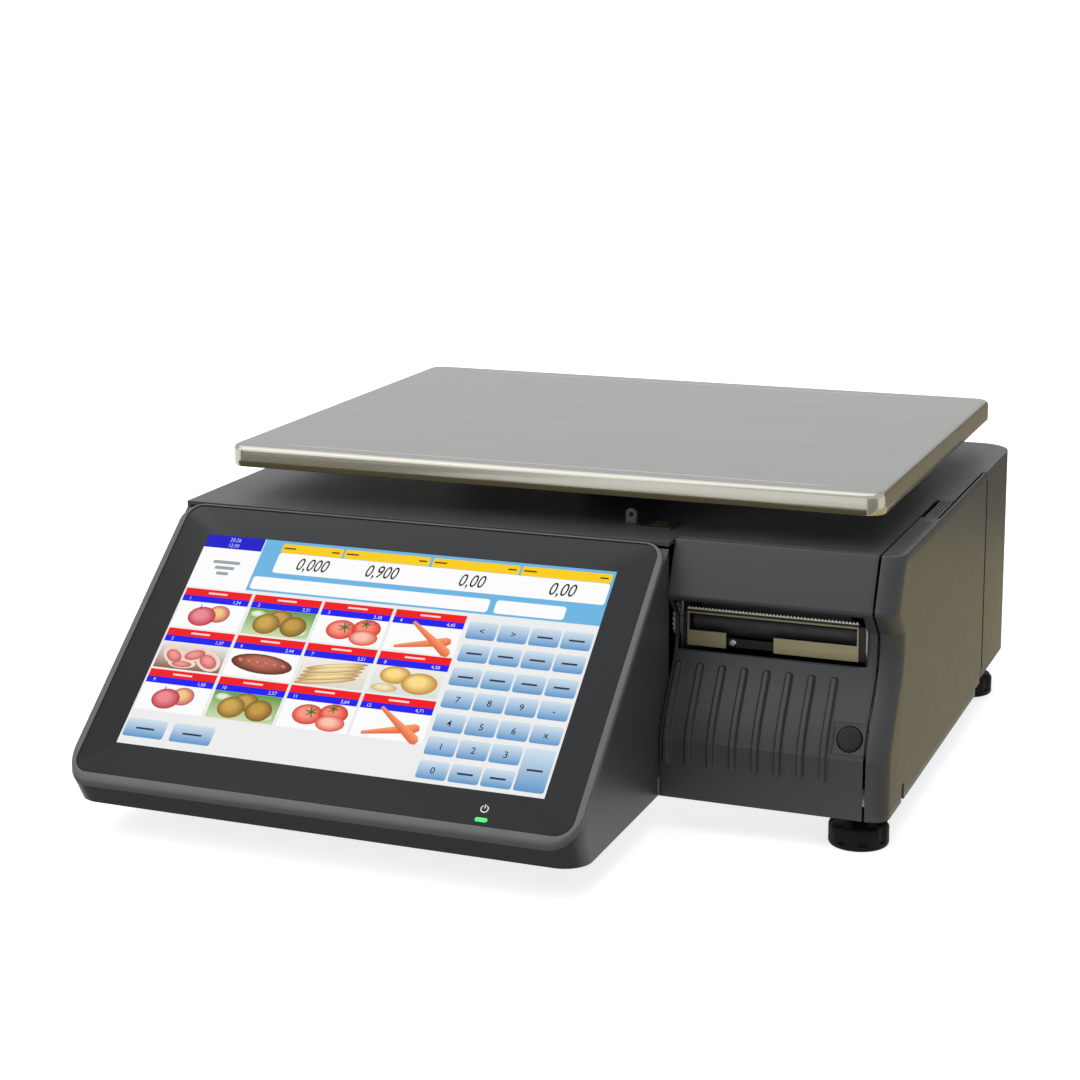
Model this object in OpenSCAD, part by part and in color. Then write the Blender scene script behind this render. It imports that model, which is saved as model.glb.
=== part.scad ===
// Counter-top retail price scale with a tilted touch display, a label printer
// and a lift-off weighing pan.  Millimetres, +Z up, front towards -Y.
// Origin: the middle of the footprint, on the surface that the feet stand on.

/* [Casing] */
// Overall width of the casing
body_w = 442; // [400:1:540]
// Overall depth, from the display's front lip to the rear wall
body_d = 481.5; // [440:0.5:580]
// Height of the casing, from its lower edge to the deck
case_h = 144; // [120:1:175]
// Clearance under the casing, filled by the feet
foot_h = 20; // [16:1:26]
// Wall thickness of the moulded covers
wall = 2.5; // [2:0.1:3]
// Radius of the rear vertical corners
rear_r = 22; // [12:1:26]
// Height of the raised lower edge at the rear of the casing
rear_step = 7; // [4:1:8]
// Gap left between neighbouring covers
seam = 0.7; // [0.4:0.1:1]

/* [Display] */
// Width of the display housing
pod_w = 310.5; // [300:0.5:315]
// Tilt of the display from the horizontal
tilt = 40.3; // [37:0.1:43]
// Height of the front lip above the casing's lower edge
lip_h = 17.5; // [14:0.5:20]
// Radius of the housing's front corners in plan
pod_r = 16; // [10:1:20]
// Width of the cover glass
glass_w = 301.5; // [296:0.5:302]
// Height of the cover glass, up the slope
glass_h = 188.4; // [180:0.2:189]
// Thickness of the cover glass
glass_t = 2.5; // [2:0.1:3]
// Corner radius of the cover glass
glass_r = 10; // [6:1:12]
// Width of the lit area
screen_w = 261; // [240:1:264]
// Height of the lit area
screen_h = 147; // [135:1:148]
// Thickness of the panel behind the glass
lcd_t = 7; // [5:0.5:9]

/* [Pan] */
// Width of the weighing pan
pan_w = 410.5; // [360:0.5:430]
// Depth of the weighing pan
pan_d = 306; // [270:1:312]
// Depth of the pan's turned-down rim
pan_rim = 13; // [11:0.5:15]
// Thickness of the pan's sheet
pan_t = 1.2; // [1:0.1:1.5]
// Corner radius of the pan
pan_r = 16; // [10:1:24]
// Gap between the deck and the rim of the pan
pan_gap = 18; // [16:0.5:22]
// Length of the load cell
cell_l = 150; // [130:1:160]
// Width of the load cell
cell_w = 30; // [24:1:34]
// Height of the load cell
cell_h = 38; // [32:1:42]
// Radius of the column that passes through the deck
column_r = 18; // [14:1:20]

/* [Printer] */
// Radius of the platen roller
platen_r = 8; // [6:0.5:9]
// Radius of the platen shaft
shaft_r = 3; // [2.5:0.1:3.5]
// Width of the window in the printer's front cover
window_w = 110; // [100:1:110]
// Height of the window
window_h = 31; // [28:1:32]
// Width of the tear bar
tear_w = 100; // [90:1:102]
// Radius of the supply spool's flange
supply_r = 45; // [35:1:48]
// Number of ribs on the front cover
rib_count = 8; // [6:1:8]
// Spacing of the ribs
rib_pitch = 13; // [12:0.5:13]
// Radius of the round push button
button_r = 7; // [6:0.5:8]
// Travel of the push button
button_travel = 2; // [1:0.5:2.5]

/* [Door and feet] */
// Width of the door's strip on the deck
door_strip = 12.8; // [11:0.1:14]
// Radius of the door's hinge bead
bead_r = 3; // [2.6:0.1:3.4]
// Radius of the hinge pins
hinge_pin_r = 1.5; // [1.2:0.1:1.8]
// Travel of the door's latch
latch_travel = 1.8; // [1:0.1:2.4]
// Radius of a foot's pad
foot_r = 17; // [14:0.5:18]
// Radius of a foot's threaded stem
stem_r = 5; // [4:0.5:6]
// Distance from the casing's side to a foot's centre
foot_inset = 20; // [19:0.5:24]

/* [Hidden] */
$fn = 64;
eps = 0.01;
big = 1000;

// Edges of the casing.
x_right = body_w/2;
x_left = -x_right;
y_front = -body_d/2;
y_back = body_d/2;
z_low = foot_h;
z_deck = foot_h + case_h;
z_under = z_deck - wall;
z_lip = z_low + lip_h;

// Display housing: the slope runs from the lip up to the deck.
slope_run = (case_h - lip_h)/tan(tilt);
slope_len = (case_h - lip_h)/sin(tilt);
y_slope = y_front + slope_run;
front_lean = 10.5;
x_pod = x_left + pod_w;
x_screen = x_left + pod_w/2;
bezel_t = 3;
ledge_t = 2.5;
glass_gap = 0.2;
bezel_foot = 5.1;
glass_mid = bezel_foot + glass_h/2;
lcd_gap = 0.3;
lcd_frame = 8.5;
lcd_w = screen_w + 2*lcd_frame;
lcd_h = screen_h + 2*lcd_frame;
lcd_top = -bezel_t - lcd_gap;
lcd_low = lcd_top - lcd_t;
bracket_t = 1.5;
bracket_edge = 6;
bracket_w = lcd_w + 2*bracket_edge;
bracket_h = lcd_h + 2*bracket_edge;
ledge_low = -bezel_t - ledge_t;

// Printer bay, between the display housing and the door.
bay_x0 = x_pod + 0.3;
x_seam = x_right - door_strip;
bay_x1 = x_seam - seam;
y_brow = y_slope + 10.3;
brow_h = 30;
brow_lean = 14;
recess_z = z_deck - 45;
sweep_top = z_deck - 54;
sweep_low = z_low + 30;
sweep_out = 27.5;
y_recess = y_brow + 0.5;
y_lip = y_recess - sweep_out;
cover_lip = 5;

// Window and paper path.
window_x0 = bay_x0 + 2.2;
window_x1 = window_x0 + window_w;
window_z1 = z_deck - 33;
window_z0 = window_z1 - window_h;
bay_mid = (window_x0 + window_x1)/2 - 1;
plate_t = 1.5;
plate_x0 = window_x0 - 0.5;
plate_x1 = window_x1 - 2.5;
platen_y = y_recess + 16;
platen_z = z_deck - 51;
plate_y0 = y_recess + 5;
rubber_x0 = bay_mid - tear_w/2 + 2;
rubber_len = tear_w - 4;
bush_wall = 1.5;
run_gap = 0.05;

// Gears on the left of the printer's left plate.
gear_m = 1;
gear_t = 5;
gear_gap = 0.6;
gear_x0 = plate_x0 - gear_gap - gear_t;
platen_n = 18;
idler_n = 30;
pinion_n = 12;
rewind_n = 36;
backlash = 0.55;
idler_dir = -30;
pinion_dir = 40;
rewind_dir = -50;
function on_circle(c, r, a) = [c[0] + r*cos(a), c[1] + r*sin(a)];
function centres(na, nb) = gear_m*(na + nb)/2;
platen_c = [platen_y, platen_z];
idler_c = on_circle(platen_c, centres(platen_n, idler_n), idler_dir);
pinion_c = on_circle(idler_c, centres(idler_n, pinion_n), pinion_dir);
rewind_c = on_circle(idler_c, centres(idler_n, rewind_n), rewind_dir);
function mesh_phase(pa, na, nb, dir) = dir + 180 + (dir - pa)*na/nb + 180/nb;
platen_phase = idler_dir;
idler_phase = mesh_phase(platen_phase, platen_n, idler_n, idler_dir);
pinion_phase = mesh_phase(idler_phase, idler_n, pinion_n, pinion_dir);
rewind_phase = mesh_phase(idler_phase, idler_n, rewind_n, rewind_dir);
idler_pin_r = 2;
guide_screw_r = 1.2;
motor_size = 42;
motor_len = 34;
motor_shaft_r = 2.5;
motor_plate_t = 1.5;
motor_plate_x = gear_x0 - gear_gap - motor_plate_t;
supply_c = [platen_y + 135, z_deck - 62];
spool_pin_r = 4;
rewind_r = 10;
rewind_shaft_r = 3;
head_pin_c = [platen_y + 34, platen_z + platen_r + 20];
head_pin_r = 2.5;

// Chassis floor.
floor_t = 2;
floor_z = z_low + 8.5;
floor_top = floor_z + floor_t;
flange_h = 10;
fit = 0.5;
foot_x = x_right - foot_inset;
foot_y0 = y_slope + 3;
foot_y1 = y_back - 36;
floor_x1 = bay_x1 - 3;
stem_gap = 0.1;
boss_h = 6;
pad_h = 13;
nut_h = 5;
nut_r = 8.5;

// Weighing parts.
pan_y = y_back - 1.5 - pan_d/2;
pan_low = z_deck + pan_gap;
pan_top = pan_low + pan_rim;
pad_top = pan_top - pan_t;
base_block_h = 12;
cell_z0 = floor_top + base_block_h;
cell_z1 = cell_z0 + cell_h;
cell_end = 45;
spacer_h = 8;
bridge_t = 10;
bridge_w = 62;
bridge_z = cell_z1 + spacer_h;
hub_z = z_deck + 8;
arm_t = 10;
arm_w = 22;
pad_r = 9;
pad_drop = 3.6;
arm_z1 = pad_top - pad_drop;
pad_x = pan_w/2 - 45;
pad_y = pan_d/2 - 40;
stop_gap = 1;
stop_r = 4;

// Bubble level in the deck, in front of the pan.
level_x = x_seam - 137;
level_y = y_slope + 37;
level_r = 8;

// Door hinge, along the rear edge of the door.
y_door = y_back - 87;
hinge_y = y_door - bead_r;
hinge_x = x_right - bead_r;
bead_z0 = floor_z + 4;
bead_z1 = z_under - 4;
ear_gap = 0.4;
pin_reach = 6;
door_corner = 10;
strip_end = y_door - 92;
latch_len = 45;
latch_gap = 0.3;
latch_w = door_strip - wall - latch_travel - 3*latch_gap;
door_step_y = y_door - 20;
door_step_h = 4.5;
notch_y = y_lip + 39;

// Rear panel and its sockets.
panel_x0 = x_left + 60;
panel_w = 130;
panel_h = 54;
panel_z = z_low + 23;
panel_t = 1.5;
panel_lap = 5;
inlet_x = panel_x0 + 28;
inlet_z = panel_z + panel_h/2;
port_x = panel_x0 + 90;

// Screws that hold the covers to the chassis.
screw_r = 1.8;
lug_w = 12;
lug_hs = [9, 9, 9, 9, 4.5, 4.5, 9, 9];
y_front_lug = y_front + 24;
screw_spots = [
  [x_left + wall + 6, y_slope + 60], [x_left + wall + 6, y_back - 70],
  [x_left + 40, y_back - wall - 6], [x_right - 90, y_back - wall - 6],
  [x_left + 60, y_front_lug], [x_pod - 60, y_front_lug],
  [bay_x0 + 24, y_lip + 10], [bay_x1 - 42, y_lip + 10]
];

// 2D helpers: a rectangle with round corners, and arcs.
module round_rect(x0, y0, w, d, r) {
  translate([x0 + r, y0]) square([w - 2*r, d]);
  translate([x0, y0 + r]) square([w, d - 2*r]);
  for (x = [x0 + r, x0 + w - r], y = [y0 + r, y0 + d - r])
    translate([x, y]) circle(r);
}

// Rectangle with two round corners at its far side (towards +Y).
module back_round(x0, y0, w, d, r) {
  translate([x0, y0]) square([w, d - r]);
  translate([x0 + r, y0]) square([w - 2*r, d]);
  for (x = [x0 + r, x0 + w - r])
    translate([x, y0 + d - r]) circle(r);
}

// Extrudes a 2D shape drawn in (Y, Z) along +X.
module along_x(x0, len) {
  translate([x0, 0, 0])
    rotate([90, 0, 90])
      linear_extrude(len)
        children();
}

module rod_x(x0, len, c, r) {
  translate([x0, c[0], c[1]])
    rotate([0, 90, 0])
      cylinder(h = len, r = r);
}

module rod_z(x, y, z0, len, r) {
  translate([x, y, z0])
    cylinder(h = len, r = r);
}

module block(x0, x1, y0, y1, z0, z1) {
  translate([x0, y0, z0])
    cube([x1 - x0, y1 - y0, z1 - z0]);
}

// Local frame on the display slope: X right from the screen's middle,
// Y up the slope from the lip, Z out of the slope.
module on_slope() {
  translate([x_screen, y_front, z_lip])
    rotate([tilt, 0, 0])
      children();
}

// Everything below a plane that lies n above the slope.
module below_slope(n) {
  on_slope()
    translate([-big, -big, n - 2*big])
      cube([2*big, 3*big, 2*big]);
}

// Front profile of the printer bay as [y, z] points, top to bottom.
function sweep(z) = y_recess - sweep_out*pow(sin(90*(sweep_top - z)/(sweep_top - sweep_low)), 2);
sweep_steps = 12;
function front_points(dy) = [
  [y_brow + dy, z_deck],
  [y_brow - brow_lean + dy, z_deck - brow_h],
  [y_recess + dy, recess_z],
  for (i = [0:sweep_steps])
    let (z = sweep_top - (sweep_top - sweep_low)*i/sweep_steps) [sweep(z) + dy, z],
  [y_lip - 1 + dy, z_low]
];

// The region behind the front profile, cut to the plan angle a of a facet of
// a round corner of radius r whose flank is the plane x = side.
module behind_front(dy, side, r, a) {
  shift = r*(1 - cos(a)) - (side - r + r*sin(a))*tan(a);
  pts = [for (p = front_points(dy + shift)) [p[0]*cos(a), p[1]]];
  rotate([0, 0, a])
    along_x(-big, 2*big)
      polygon(concat(pts, [[big, z_low], [big, z_deck]]));
}

// Solid behind the front profile with a facetted vertical corner at its right.
module bay_solid(dy, side, r) {
  intersection() {
    block(-big, side, -big, big, z_low - eps, z_deck + eps);
    behind_front(dy, side, r, 0);
    behind_front(dy, side, r, 30);
    behind_front(dy, side, r, 60);
  }
}

module gear_shape(n, phase) {
  pr = gear_m*n/2;
  half = PI*gear_m/4 - backlash/4;
  ro = pr + 0.85*gear_m;
  ri = pr - 1.2*gear_m;
  at = (half - 0.85*gear_m*tan(20))/ro*180/PI;
  ar = (half + 1.2*gear_m*tan(20))/ri*180/PI;
  polygon([for (i = [0:n - 1]) let (c = phase + i*360/n)
    each [
      [ri*cos(c - ar), ri*sin(c - ar)], [ro*cos(c - at), ro*sin(c - at)],
      [ro*cos(c + at), ro*sin(c + at)], [ri*cos(c + ar), ri*sin(c + ar)]
    ]]);
}

module gear(n, phase, c, bore_r) {
  difference() {
    along_x(gear_x0, gear_t)
      translate(c) gear_shape(n, phase);
    rod_x(gear_x0 - 1, gear_t + 2, c, bore_r);
  }
}

// Screw holes in the lugs of the covers.
module lug_holes(which) {
  for (i = which)
    rod_z(screw_spots[i][0], screw_spots[i][1], floor_top - 1, lug_hs[i] + 0.5, screw_r);
}

// ---- chassis -------------------------------------------------------------

module floor_plan(in) {
  difference() {
    union() {
      round_rect(x_left + wall + fit + in, y_front + 14 + in,
                 pod_w - 2*(wall + fit) - 2*in, 60, pod_r - 2);
      translate([x_left + wall + fit + in, y_front + 60])
        square([pod_w - 2*(wall + fit) - 2*in, slope_run]);
      translate([x_left + wall + fit + in, y_lip + 5 + in])
        square([floor_x1 - x_left - wall - fit - 2*in, 30]);
      back_round(x_left + wall + fit + in, y_lip + 20,
                 floor_x1 - x_left - wall - fit - 2*in,
                 y_back - wall - fit - in - y_lip - 20, rear_r - wall);
    }
    // The display housing's right wall stands in this slot.
    translate([x_pod - wall - fit, y_front])
      square([wall + 2*fit + 0.3, slope_run + fit]);
  }
}

module base_chassis() {
  color([0.55, 0.56, 0.57])
    difference() {
      union() {
        translate([0, 0, floor_z])
          linear_extrude(floor_t)
            floor_plan(0);
        // Turned-up edge at the left and the right.
        block(x_left + wall + fit, x_left + wall + fit + floor_t, y_slope + 75,
              y_back - 80, floor_z, floor_top + flange_h);
        block(floor_x1 - floor_t, floor_x1, foot_y0 + 25, foot_y1 - 25, floor_z,
              floor_top + flange_h);
        for (x = [-foot_x, foot_x], y = [foot_y0, foot_y1])
          rod_z(x, y, floor_z, boss_h, stem_r + 5);
      }
      for (x = [-foot_x, foot_x], y = [foot_y0, foot_y1])
        rod_z(x, y, floor_z - 1, boss_h + 2, stem_r + stem_gap);
      for (s = screw_spots)
        rod_z(s[0], s[1], floor_z - 1, floor_t + 2, screw_r + 0.4);
    }
}

// ---- display housing -----------------------------------------------------

module pod_plan(in) {
  // Round at the front, square at the rear.
  translate([0, y_front + y_slope])
    mirror([0, 1])
      back_round(x_left + in, y_front, pod_w - 2*in, slope_run - in, pod_r - in);
}

module pod_body(in, n, top) {
  intersection() {
    translate([0, 0, z_low - (in > 0 ? 1 : 0)])
      linear_extrude(case_h + 2)
        pod_plan(in);
    along_x(-big, 2*big)
      polygon([
        [y_front + in, z_lip], [y_front + front_lean + in, z_low - 1],
        [y_slope + (in > 0 ? 1 : 0), z_low - 1],
        [y_slope + (in > 0 ? 1 : 0), top], [y_front + in, top]
      ]);
    below_slope(n);
  }
}

module display_housing() {
  hole_w = lcd_w + 2;
  hole_h = lcd_h + 2;
  color([0.24, 0.245, 0.25])
    difference() {
      union() {
        difference() {
          intersection() {
            pod_body(0, -bezel_t, z_deck);
            block(-big, big, -big, big, z_low, big);
          }
          pod_body(wall, ledge_low, z_deck + 1);
        }
        on_slope()
          for (x = [-1, 1], y = [-1, 1])
            translate([x*(bracket_w/2 - 3), glass_mid + y*(bracket_h/2 - 3), lcd_low])
              cylinder(h = ledge_low - lcd_low + 1, r = 2.6);
        intersection() {
          pod_body(wall/2, -bezel_t - ledge_t/2, z_deck);
          for (i = [4, 5])
            block(screw_spots[i][0] - lug_w/2, screw_spots[i][0] + lug_w/2, y_front,
                  screw_spots[i][1] + lug_w/2, floor_top, floor_top + lug_hs[i]);
        }
      }
      on_slope()
        translate([-hole_w/2, glass_mid - hole_h/2, ledge_low - 2])
          cube([hole_w, hole_h, 10]);
      on_slope()
        for (x = [-1, 1], y = [-1, 1])
          translate([x*(bracket_w/2 - 3), glass_mid + y*(bracket_h/2 - 3), lcd_low - 1])
            cylinder(h = 4, r = 1.2);
      lug_holes([4, 5]);
    }
}

module slope_plate(w, h, r, n, t) {
  on_slope()
    translate([0, 0, n])
      linear_extrude(t)
        round_rect(-w/2, glass_mid - h/2, w, h, r);
}

module display_bezel() {
  edge = 1.4;
  color([0.36, 0.365, 0.37])
    difference() {
      intersection() {
        pod_body(0, 0, z_deck);
        on_slope()
          translate([-big, -big, -bezel_t])
            cube([2*big, 3*big, bezel_t + 1]);
        on_slope()
          translate([0, 0, -bezel_t - 1])
            linear_extrude(bezel_t + 2)
              round_rect(-pod_w/2, 0, pod_w, slope_len, 14);
      }
      slope_plate(glass_w + 2*glass_gap, glass_h + 2*glass_gap, glass_r, -bezel_t - 1,
                  bezel_t + 2);
      // Bevel along the lower edge.
      on_slope()
        rotate([45, 0, 0])
          translate([-big, -edge, -edge])
            cube([2*big, edge, 2*edge]);
    }
}

module touch_glass() {
  color([0.09, 0.1, 0.11])
    difference() {
      slope_plate(glass_w, glass_h, glass_r, -bezel_t, glass_t);
      led_slot(0.1, 1);
    }
}

// Slot for the status light, right of the middle below the lit area.
module led_slot(gap, over) {
  on_slope()
    translate([pod_w/2 - 55.5 - 3.5 - gap, 7.5 - gap, -bezel_t - over])
      cube([7 + 2*gap, 2.5 + 2*gap, glass_t + 2*over]);
}

module status_led_lens() {
  color([0.13, 0.8, 0.4])
    led_slot(0, 0);
}

module lcd_module() {
  color([0.6, 0.62, 0.65])
    on_slope()
      translate([-lcd_w/2, glass_mid - lcd_h/2, lcd_low])
        cube([lcd_w, lcd_h, lcd_t]);
}

module lcd_bracket() {
  color([0.7, 0.7, 0.72])
    difference() {
      slope_plate(bracket_w, bracket_h, 4, lcd_low - bracket_t, bracket_t);
      slope_plate(lcd_w - 60, lcd_h - 60, 6, lcd_low - bracket_t - 1, bracket_t + 2);
      on_slope()
        for (x = [-1, 1], y = [-1, 1])
          translate([x*(bracket_w/2 - 3), glass_mid + y*(bracket_h/2 - 3), lcd_low - 5])
            cylinder(h = 10, r = 1.4);
    }
}

// ---- main cover ----------------------------------------------------------

module cover_plan(in) {
  back_round(x_left + in, y_slope, body_w - 2*in, body_d - slope_run - in, rear_r - in);
}

module hinge_ear(z0, z1) {
  rod_z(hinge_x, hinge_y, z0, z1 - z0, bead_r);
  block(hinge_x - bead_r, x_right, hinge_y, y_door + 6, z0, z1);
}

module main_cover() {
  hole_r = column_r + 6;
  color([0.25, 0.25, 0.255])
    difference() {
      union() {
        difference() {
          translate([0, 0, z_low])
            linear_extrude(case_h)
              cover_plan(0);
          translate([0, 0, z_low - 1])
            linear_extrude(case_h - wall + 1) {
              cover_plan(wall);
              translate([x_left + wall, y_slope - 1])
                square([body_w - 2*wall, 2]);
            }
          // Door opening, and the deck's edge beside it.
          block(x_seam - seam, big, -big, y_door + seam, -big, z_under);
          block(x_seam - seam, big, -big, strip_end, -big, big);
          block(x_right - wall - 0.3, big, -big, y_door + seam, -big, big);
          // Printer bay, in front of the deck.
          block(x_pod - eps, big, -big, y_brow + cover_lip + seam, -big, big);
          block(-big, big, y_door - 21, big, -big, z_low + rear_step);
          // Opening for the rear panel.
          block(panel_x0, panel_x0 + panel_w, y_back - 10, y_back + 1, panel_z,
                panel_z + panel_h);
        }
        hinge_ear(bead_z1 + ear_gap, z_deck);
        hinge_ear(z_low + rear_step, bead_z0 - ear_gap);
        // Bridges from the lower ear and the deck to the side wall.
        block(x_right - wall, x_right, y_door + seam, y_door + 8, z_low + rear_step, z_deck);
        // Splash collar around the column.
        rod_z(0, pan_y, z_under, wall + 5, hole_r + wall);
        for (i = [0:1])
          block(x_left + 1, screw_spots[i][0] + 6, screw_spots[i][1] - lug_w/2,
                screw_spots[i][1] + lug_w/2, floor_top, floor_top + lug_hs[i]);
        for (i = [2, 3])
          block(screw_spots[i][0] - lug_w/2, screw_spots[i][0] + lug_w/2,
                screw_spots[i][1] - 6, y_back - 1, floor_top, floor_top + lug_hs[i]);
      }
      rod_z(0, pan_y, z_under - 1, 20, hole_r);
      lug_holes([0:3]);
      // Hinge pin holes.
      rod_z(hinge_x, hinge_y, bead_z1, pin_reach, hinge_pin_r);
      rod_z(hinge_x, hinge_y, z_low, bead_z0 - z_low, hinge_pin_r);
      // Seat of the bubble level.
      rod_z(level_x, level_y, z_under - 1, wall + 2, level_r + 0.2);
    }
}

module level_housing() {
  color([0.12, 0.12, 0.12])
    difference() {
      union() {
        rod_z(level_x, level_y, z_deck - 9, 9, level_r);
        block(level_x - level_r - 2, level_x + level_r + 2, level_y - level_r - 2,
              level_y + level_r + 2, z_deck, z_deck + 1);
      }
      rod_z(level_x, level_y, z_deck - 6, 10, level_r - 2);
    }
}

module level_vial() {
  color([0.75, 0.85, 0.35])
    rod_z(level_x, level_y, z_deck - 6, 6.6, level_r - 2);
}

module seal_lug() {
  x = level_x - 17;
  color([0.3, 0.3, 0.3])
    difference() {
      union() {
        block(x - 3.3, x + 3.3, level_y - 1.5, level_y + 1.5, z_deck, z_deck + 5.7);
        translate([x, level_y - 1.5, z_deck + 5.7])
          rotate([-90, 0, 0])
            cylinder(h = 3, r = 3.3);
      }
      translate([x, level_y - 5, z_deck + 5.2])
        rotate([-90, 0, 0])
          cylinder(h = 10, r = 1.3);
    }
}

// ---- rear panel and sockets ----------------------------------------------

module rear_panel() {
  y1 = y_back - wall;
  color([0.62, 0.63, 0.64])
    difference() {
      block(panel_x0 - panel_lap, panel_x0 + panel_w + panel_lap, y1 - panel_t, y1,
            panel_z - panel_lap, panel_z + panel_h + panel_lap);
      block(inlet_x - 14, inlet_x + 14, y1 - 5, y1 + 1, inlet_z - 10, inlet_z + 10);
      block(port_x - 8.2, port_x + 8.2, y1 - 5, y1 + 1, inlet_z - 7, inlet_z + 7);
    }
}

module mains_inlet() {
  y1 = y_back - wall;
  color([0.1, 0.1, 0.1]) {
    difference() {
      union() {
        block(inlet_x - 13.8, inlet_x + 13.8, y1 - 26, y1, inlet_z - 9.8, inlet_z + 9.8);
        block(inlet_x - 20, inlet_x + 20, y1, y1 + 2, inlet_z - 12, inlet_z + 12);
      }
      block(inlet_x - 12, inlet_x + 12, y1 - 16, y1 + 5, inlet_z - 7.8, inlet_z + 7.8);
    }
    for (p = [[-7, -2], [0, 2], [7, -2]])
      block(inlet_x + p[0] - 1, inlet_x + p[0] + 1, y1 - 16, y1 - 3,
            inlet_z + p[1] - 2, inlet_z + p[1] + 2);
  }
}

module network_port() {
  y1 = y_back - wall;
  color([0.75, 0.76, 0.77])
    difference() {
      block(port_x - 8, port_x + 8, y1 - 21, y1 + 0.5, inlet_z - 6.8, inlet_z + 6.8);
      block(port_x - 6, port_x + 6, y1 - 15, y1 + 2, inlet_z - 4.5, inlet_z + 4.5);
    }
}

// ---- side door -----------------------------------------------------------

module door_shell() {
  difference() {
    bay_solid(0, x_right, door_corner);
    bay_solid(wall, x_right - wall, door_corner - wall);
    block(-big, x_seam, -big, big, -big, big);
  }
}

module side_door() {
  color([0.25, 0.25, 0.255])
    difference() {
      union() {
        intersection() {
          union() {
            door_shell();
            // Strip on the deck.
            difference() {
              intersection() {
                bay_solid(0, x_right, door_corner);
                block(x_seam, big, -big, strip_end - seam, z_under, z_deck);
              }
              block(-big, x_right - wall, strip_end - latch_len - 2*seam, big, -big, big);
            }
          }
          block(-big, big, -big, hinge_y, z_low, z_deck);
        }
        // Shelf under the latch.
        block(x_seam, x_right - wall + 1, strip_end - latch_len - 6, strip_end - seam,
              z_under - 3.5, z_under - 1.5);
        block(x_seam, x_right - wall + 1, strip_end - latch_len - 6,
              strip_end - latch_len - 2*seam, z_under - 3.5, z_under + 1);
        rod_z(hinge_x, hinge_y, bead_z0, bead_z1 - bead_z0, bead_r);
      }
      // Clearance beside the two ears.
      block(-big, big, hinge_y - bead_r - 0.9, big, bead_z1, big);
      block(-big, big, hinge_y - bead_r - 0.9, big, -big, bead_z0);
      // Higher lower edge near the hinge, and a finger notch near the front.
      block(-big, big, door_step_y, big, -big, z_low + door_step_h);
      block(x_right - wall - 1, big, notch_y - 3, notch_y + 3, -big, z_low + 10);
      rod_z(hinge_x, hinge_y, bead_z0 - 1, pin_reach + 1, hinge_pin_r + run_gap);
      rod_z(hinge_x, hinge_y, bead_z1 - pin_reach, pin_reach + 1, hinge_pin_r + run_gap);
    }
}

module door_hinge_pins() {
  color([0.75, 0.76, 0.77]) {
    rod_z(hinge_x, hinge_y, z_low + rear_step, bead_z0 - z_low - rear_step + pin_reach - 1,
          hinge_pin_r);
    rod_z(hinge_x, hinge_y, bead_z1 - pin_reach + 1, 2*pin_reach - 1, hinge_pin_r);
  }
}

module door_latch() {
  x1 = x_right - wall - latch_gap;
  x0 = x1 - latch_w;
  y1 = strip_end - seam - latch_gap;
  y0 = y1 - latch_len + 2*latch_gap;
  color([0.28, 0.28, 0.285]) {
    difference() {
      block(x0, x1, y0, y1, z_under - 1.5, z_deck);
      for (i = [0:2])
        block(x0 + 1.3 + 2*i, x0 + 2.3 + 2*i, y0 + 3, y1 - 3, z_deck - 0.8, z_deck + 1);
    }
  }
}

// ---- printer front -------------------------------------------------------

button_z = z_low + 45;
button_x = bay_x1 - 9;
button_slope = atan((sweep(button_z + 8) - sweep(button_z - 8))/16);
button_frame = 18;
button_t = 5;
button_proud = 0.8;
well_z = button_proud - button_t - button_travel - 0.8;
guide_wall = 2;

// Local frame on the push button: Z points out of the cover.
module at_button() {
  translate([button_x, sweep(button_z), button_z])
    rotate([90 - button_slope, 0, 0])
      children();
}

module rib(x) {
  top = window_z0 - 7;
  low = z_low + 20;
  n = 14;
  face = [for (i = [0:n]) let (z = top - (top - low)*i/n)
    [profile_y(z) - 2*min(1, 4*sin(180*i/n)), z]];
  back = [for (i = [n:-1:0]) let (z = top - (top - low)*i/n) [profile_y(z) + 1, z]];
  along_x(x - 1.5, 3)
    polygon(concat(face, back));
}

// Front surface at height z, below the recess.
function profile_y(z) = z > sweep_low ? sweep(z)
  : y_lip - (sweep_low - z)/(sweep_low - z_low);

module printer_front_cover() {
  color([0.24, 0.245, 0.25])
    difference() {
      union() {
        difference() {
          behind_front(0, big/2, 1, 0);
          behind_front(wall, big/2, 1, 0);
          block(-big, bay_x0, -big, big, -big, big);
          block(bay_x1, big, -big, big, -big, big);
        }
        block(bay_x0, bay_x1, y_brow + 0.4, y_brow + cover_lip, z_under, z_deck);
        for (i = [0:rib_count - 1])
          rib(window_x0 + 2 + rib_pitch*i);
        for (i = [6, 7])
          block(screw_spots[i][0] - lug_w/2, screw_spots[i][0] + lug_w/2,
                y_lip + 0.5, screw_spots[i][1] + 6, floor_top, floor_top + lug_hs[i]);
        // Guide of the push button.
        at_button()
          translate([0, 0, well_z - guide_wall])
            cylinder(h = guide_wall - well_z - 1, r = button_r + guide_wall);
      }
      block(window_x0, window_x1, -big, y_recess + 10, window_z0, window_z1);
      at_button()
        translate([0, 0, well_z])
          cylinder(h = 20, r = button_r + 0.2);
      at_button()
        translate([0, 0, -20])
          cylinder(h = 40, r = 2.2);
      at_button()
        translate([-button_frame/2, -button_frame/2, -0.6])
          cube([button_frame, button_frame, 5]);
      lug_holes([6, 7]);
      block(bay_x1, big, -big, big, -big, big);
    }
}

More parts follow.
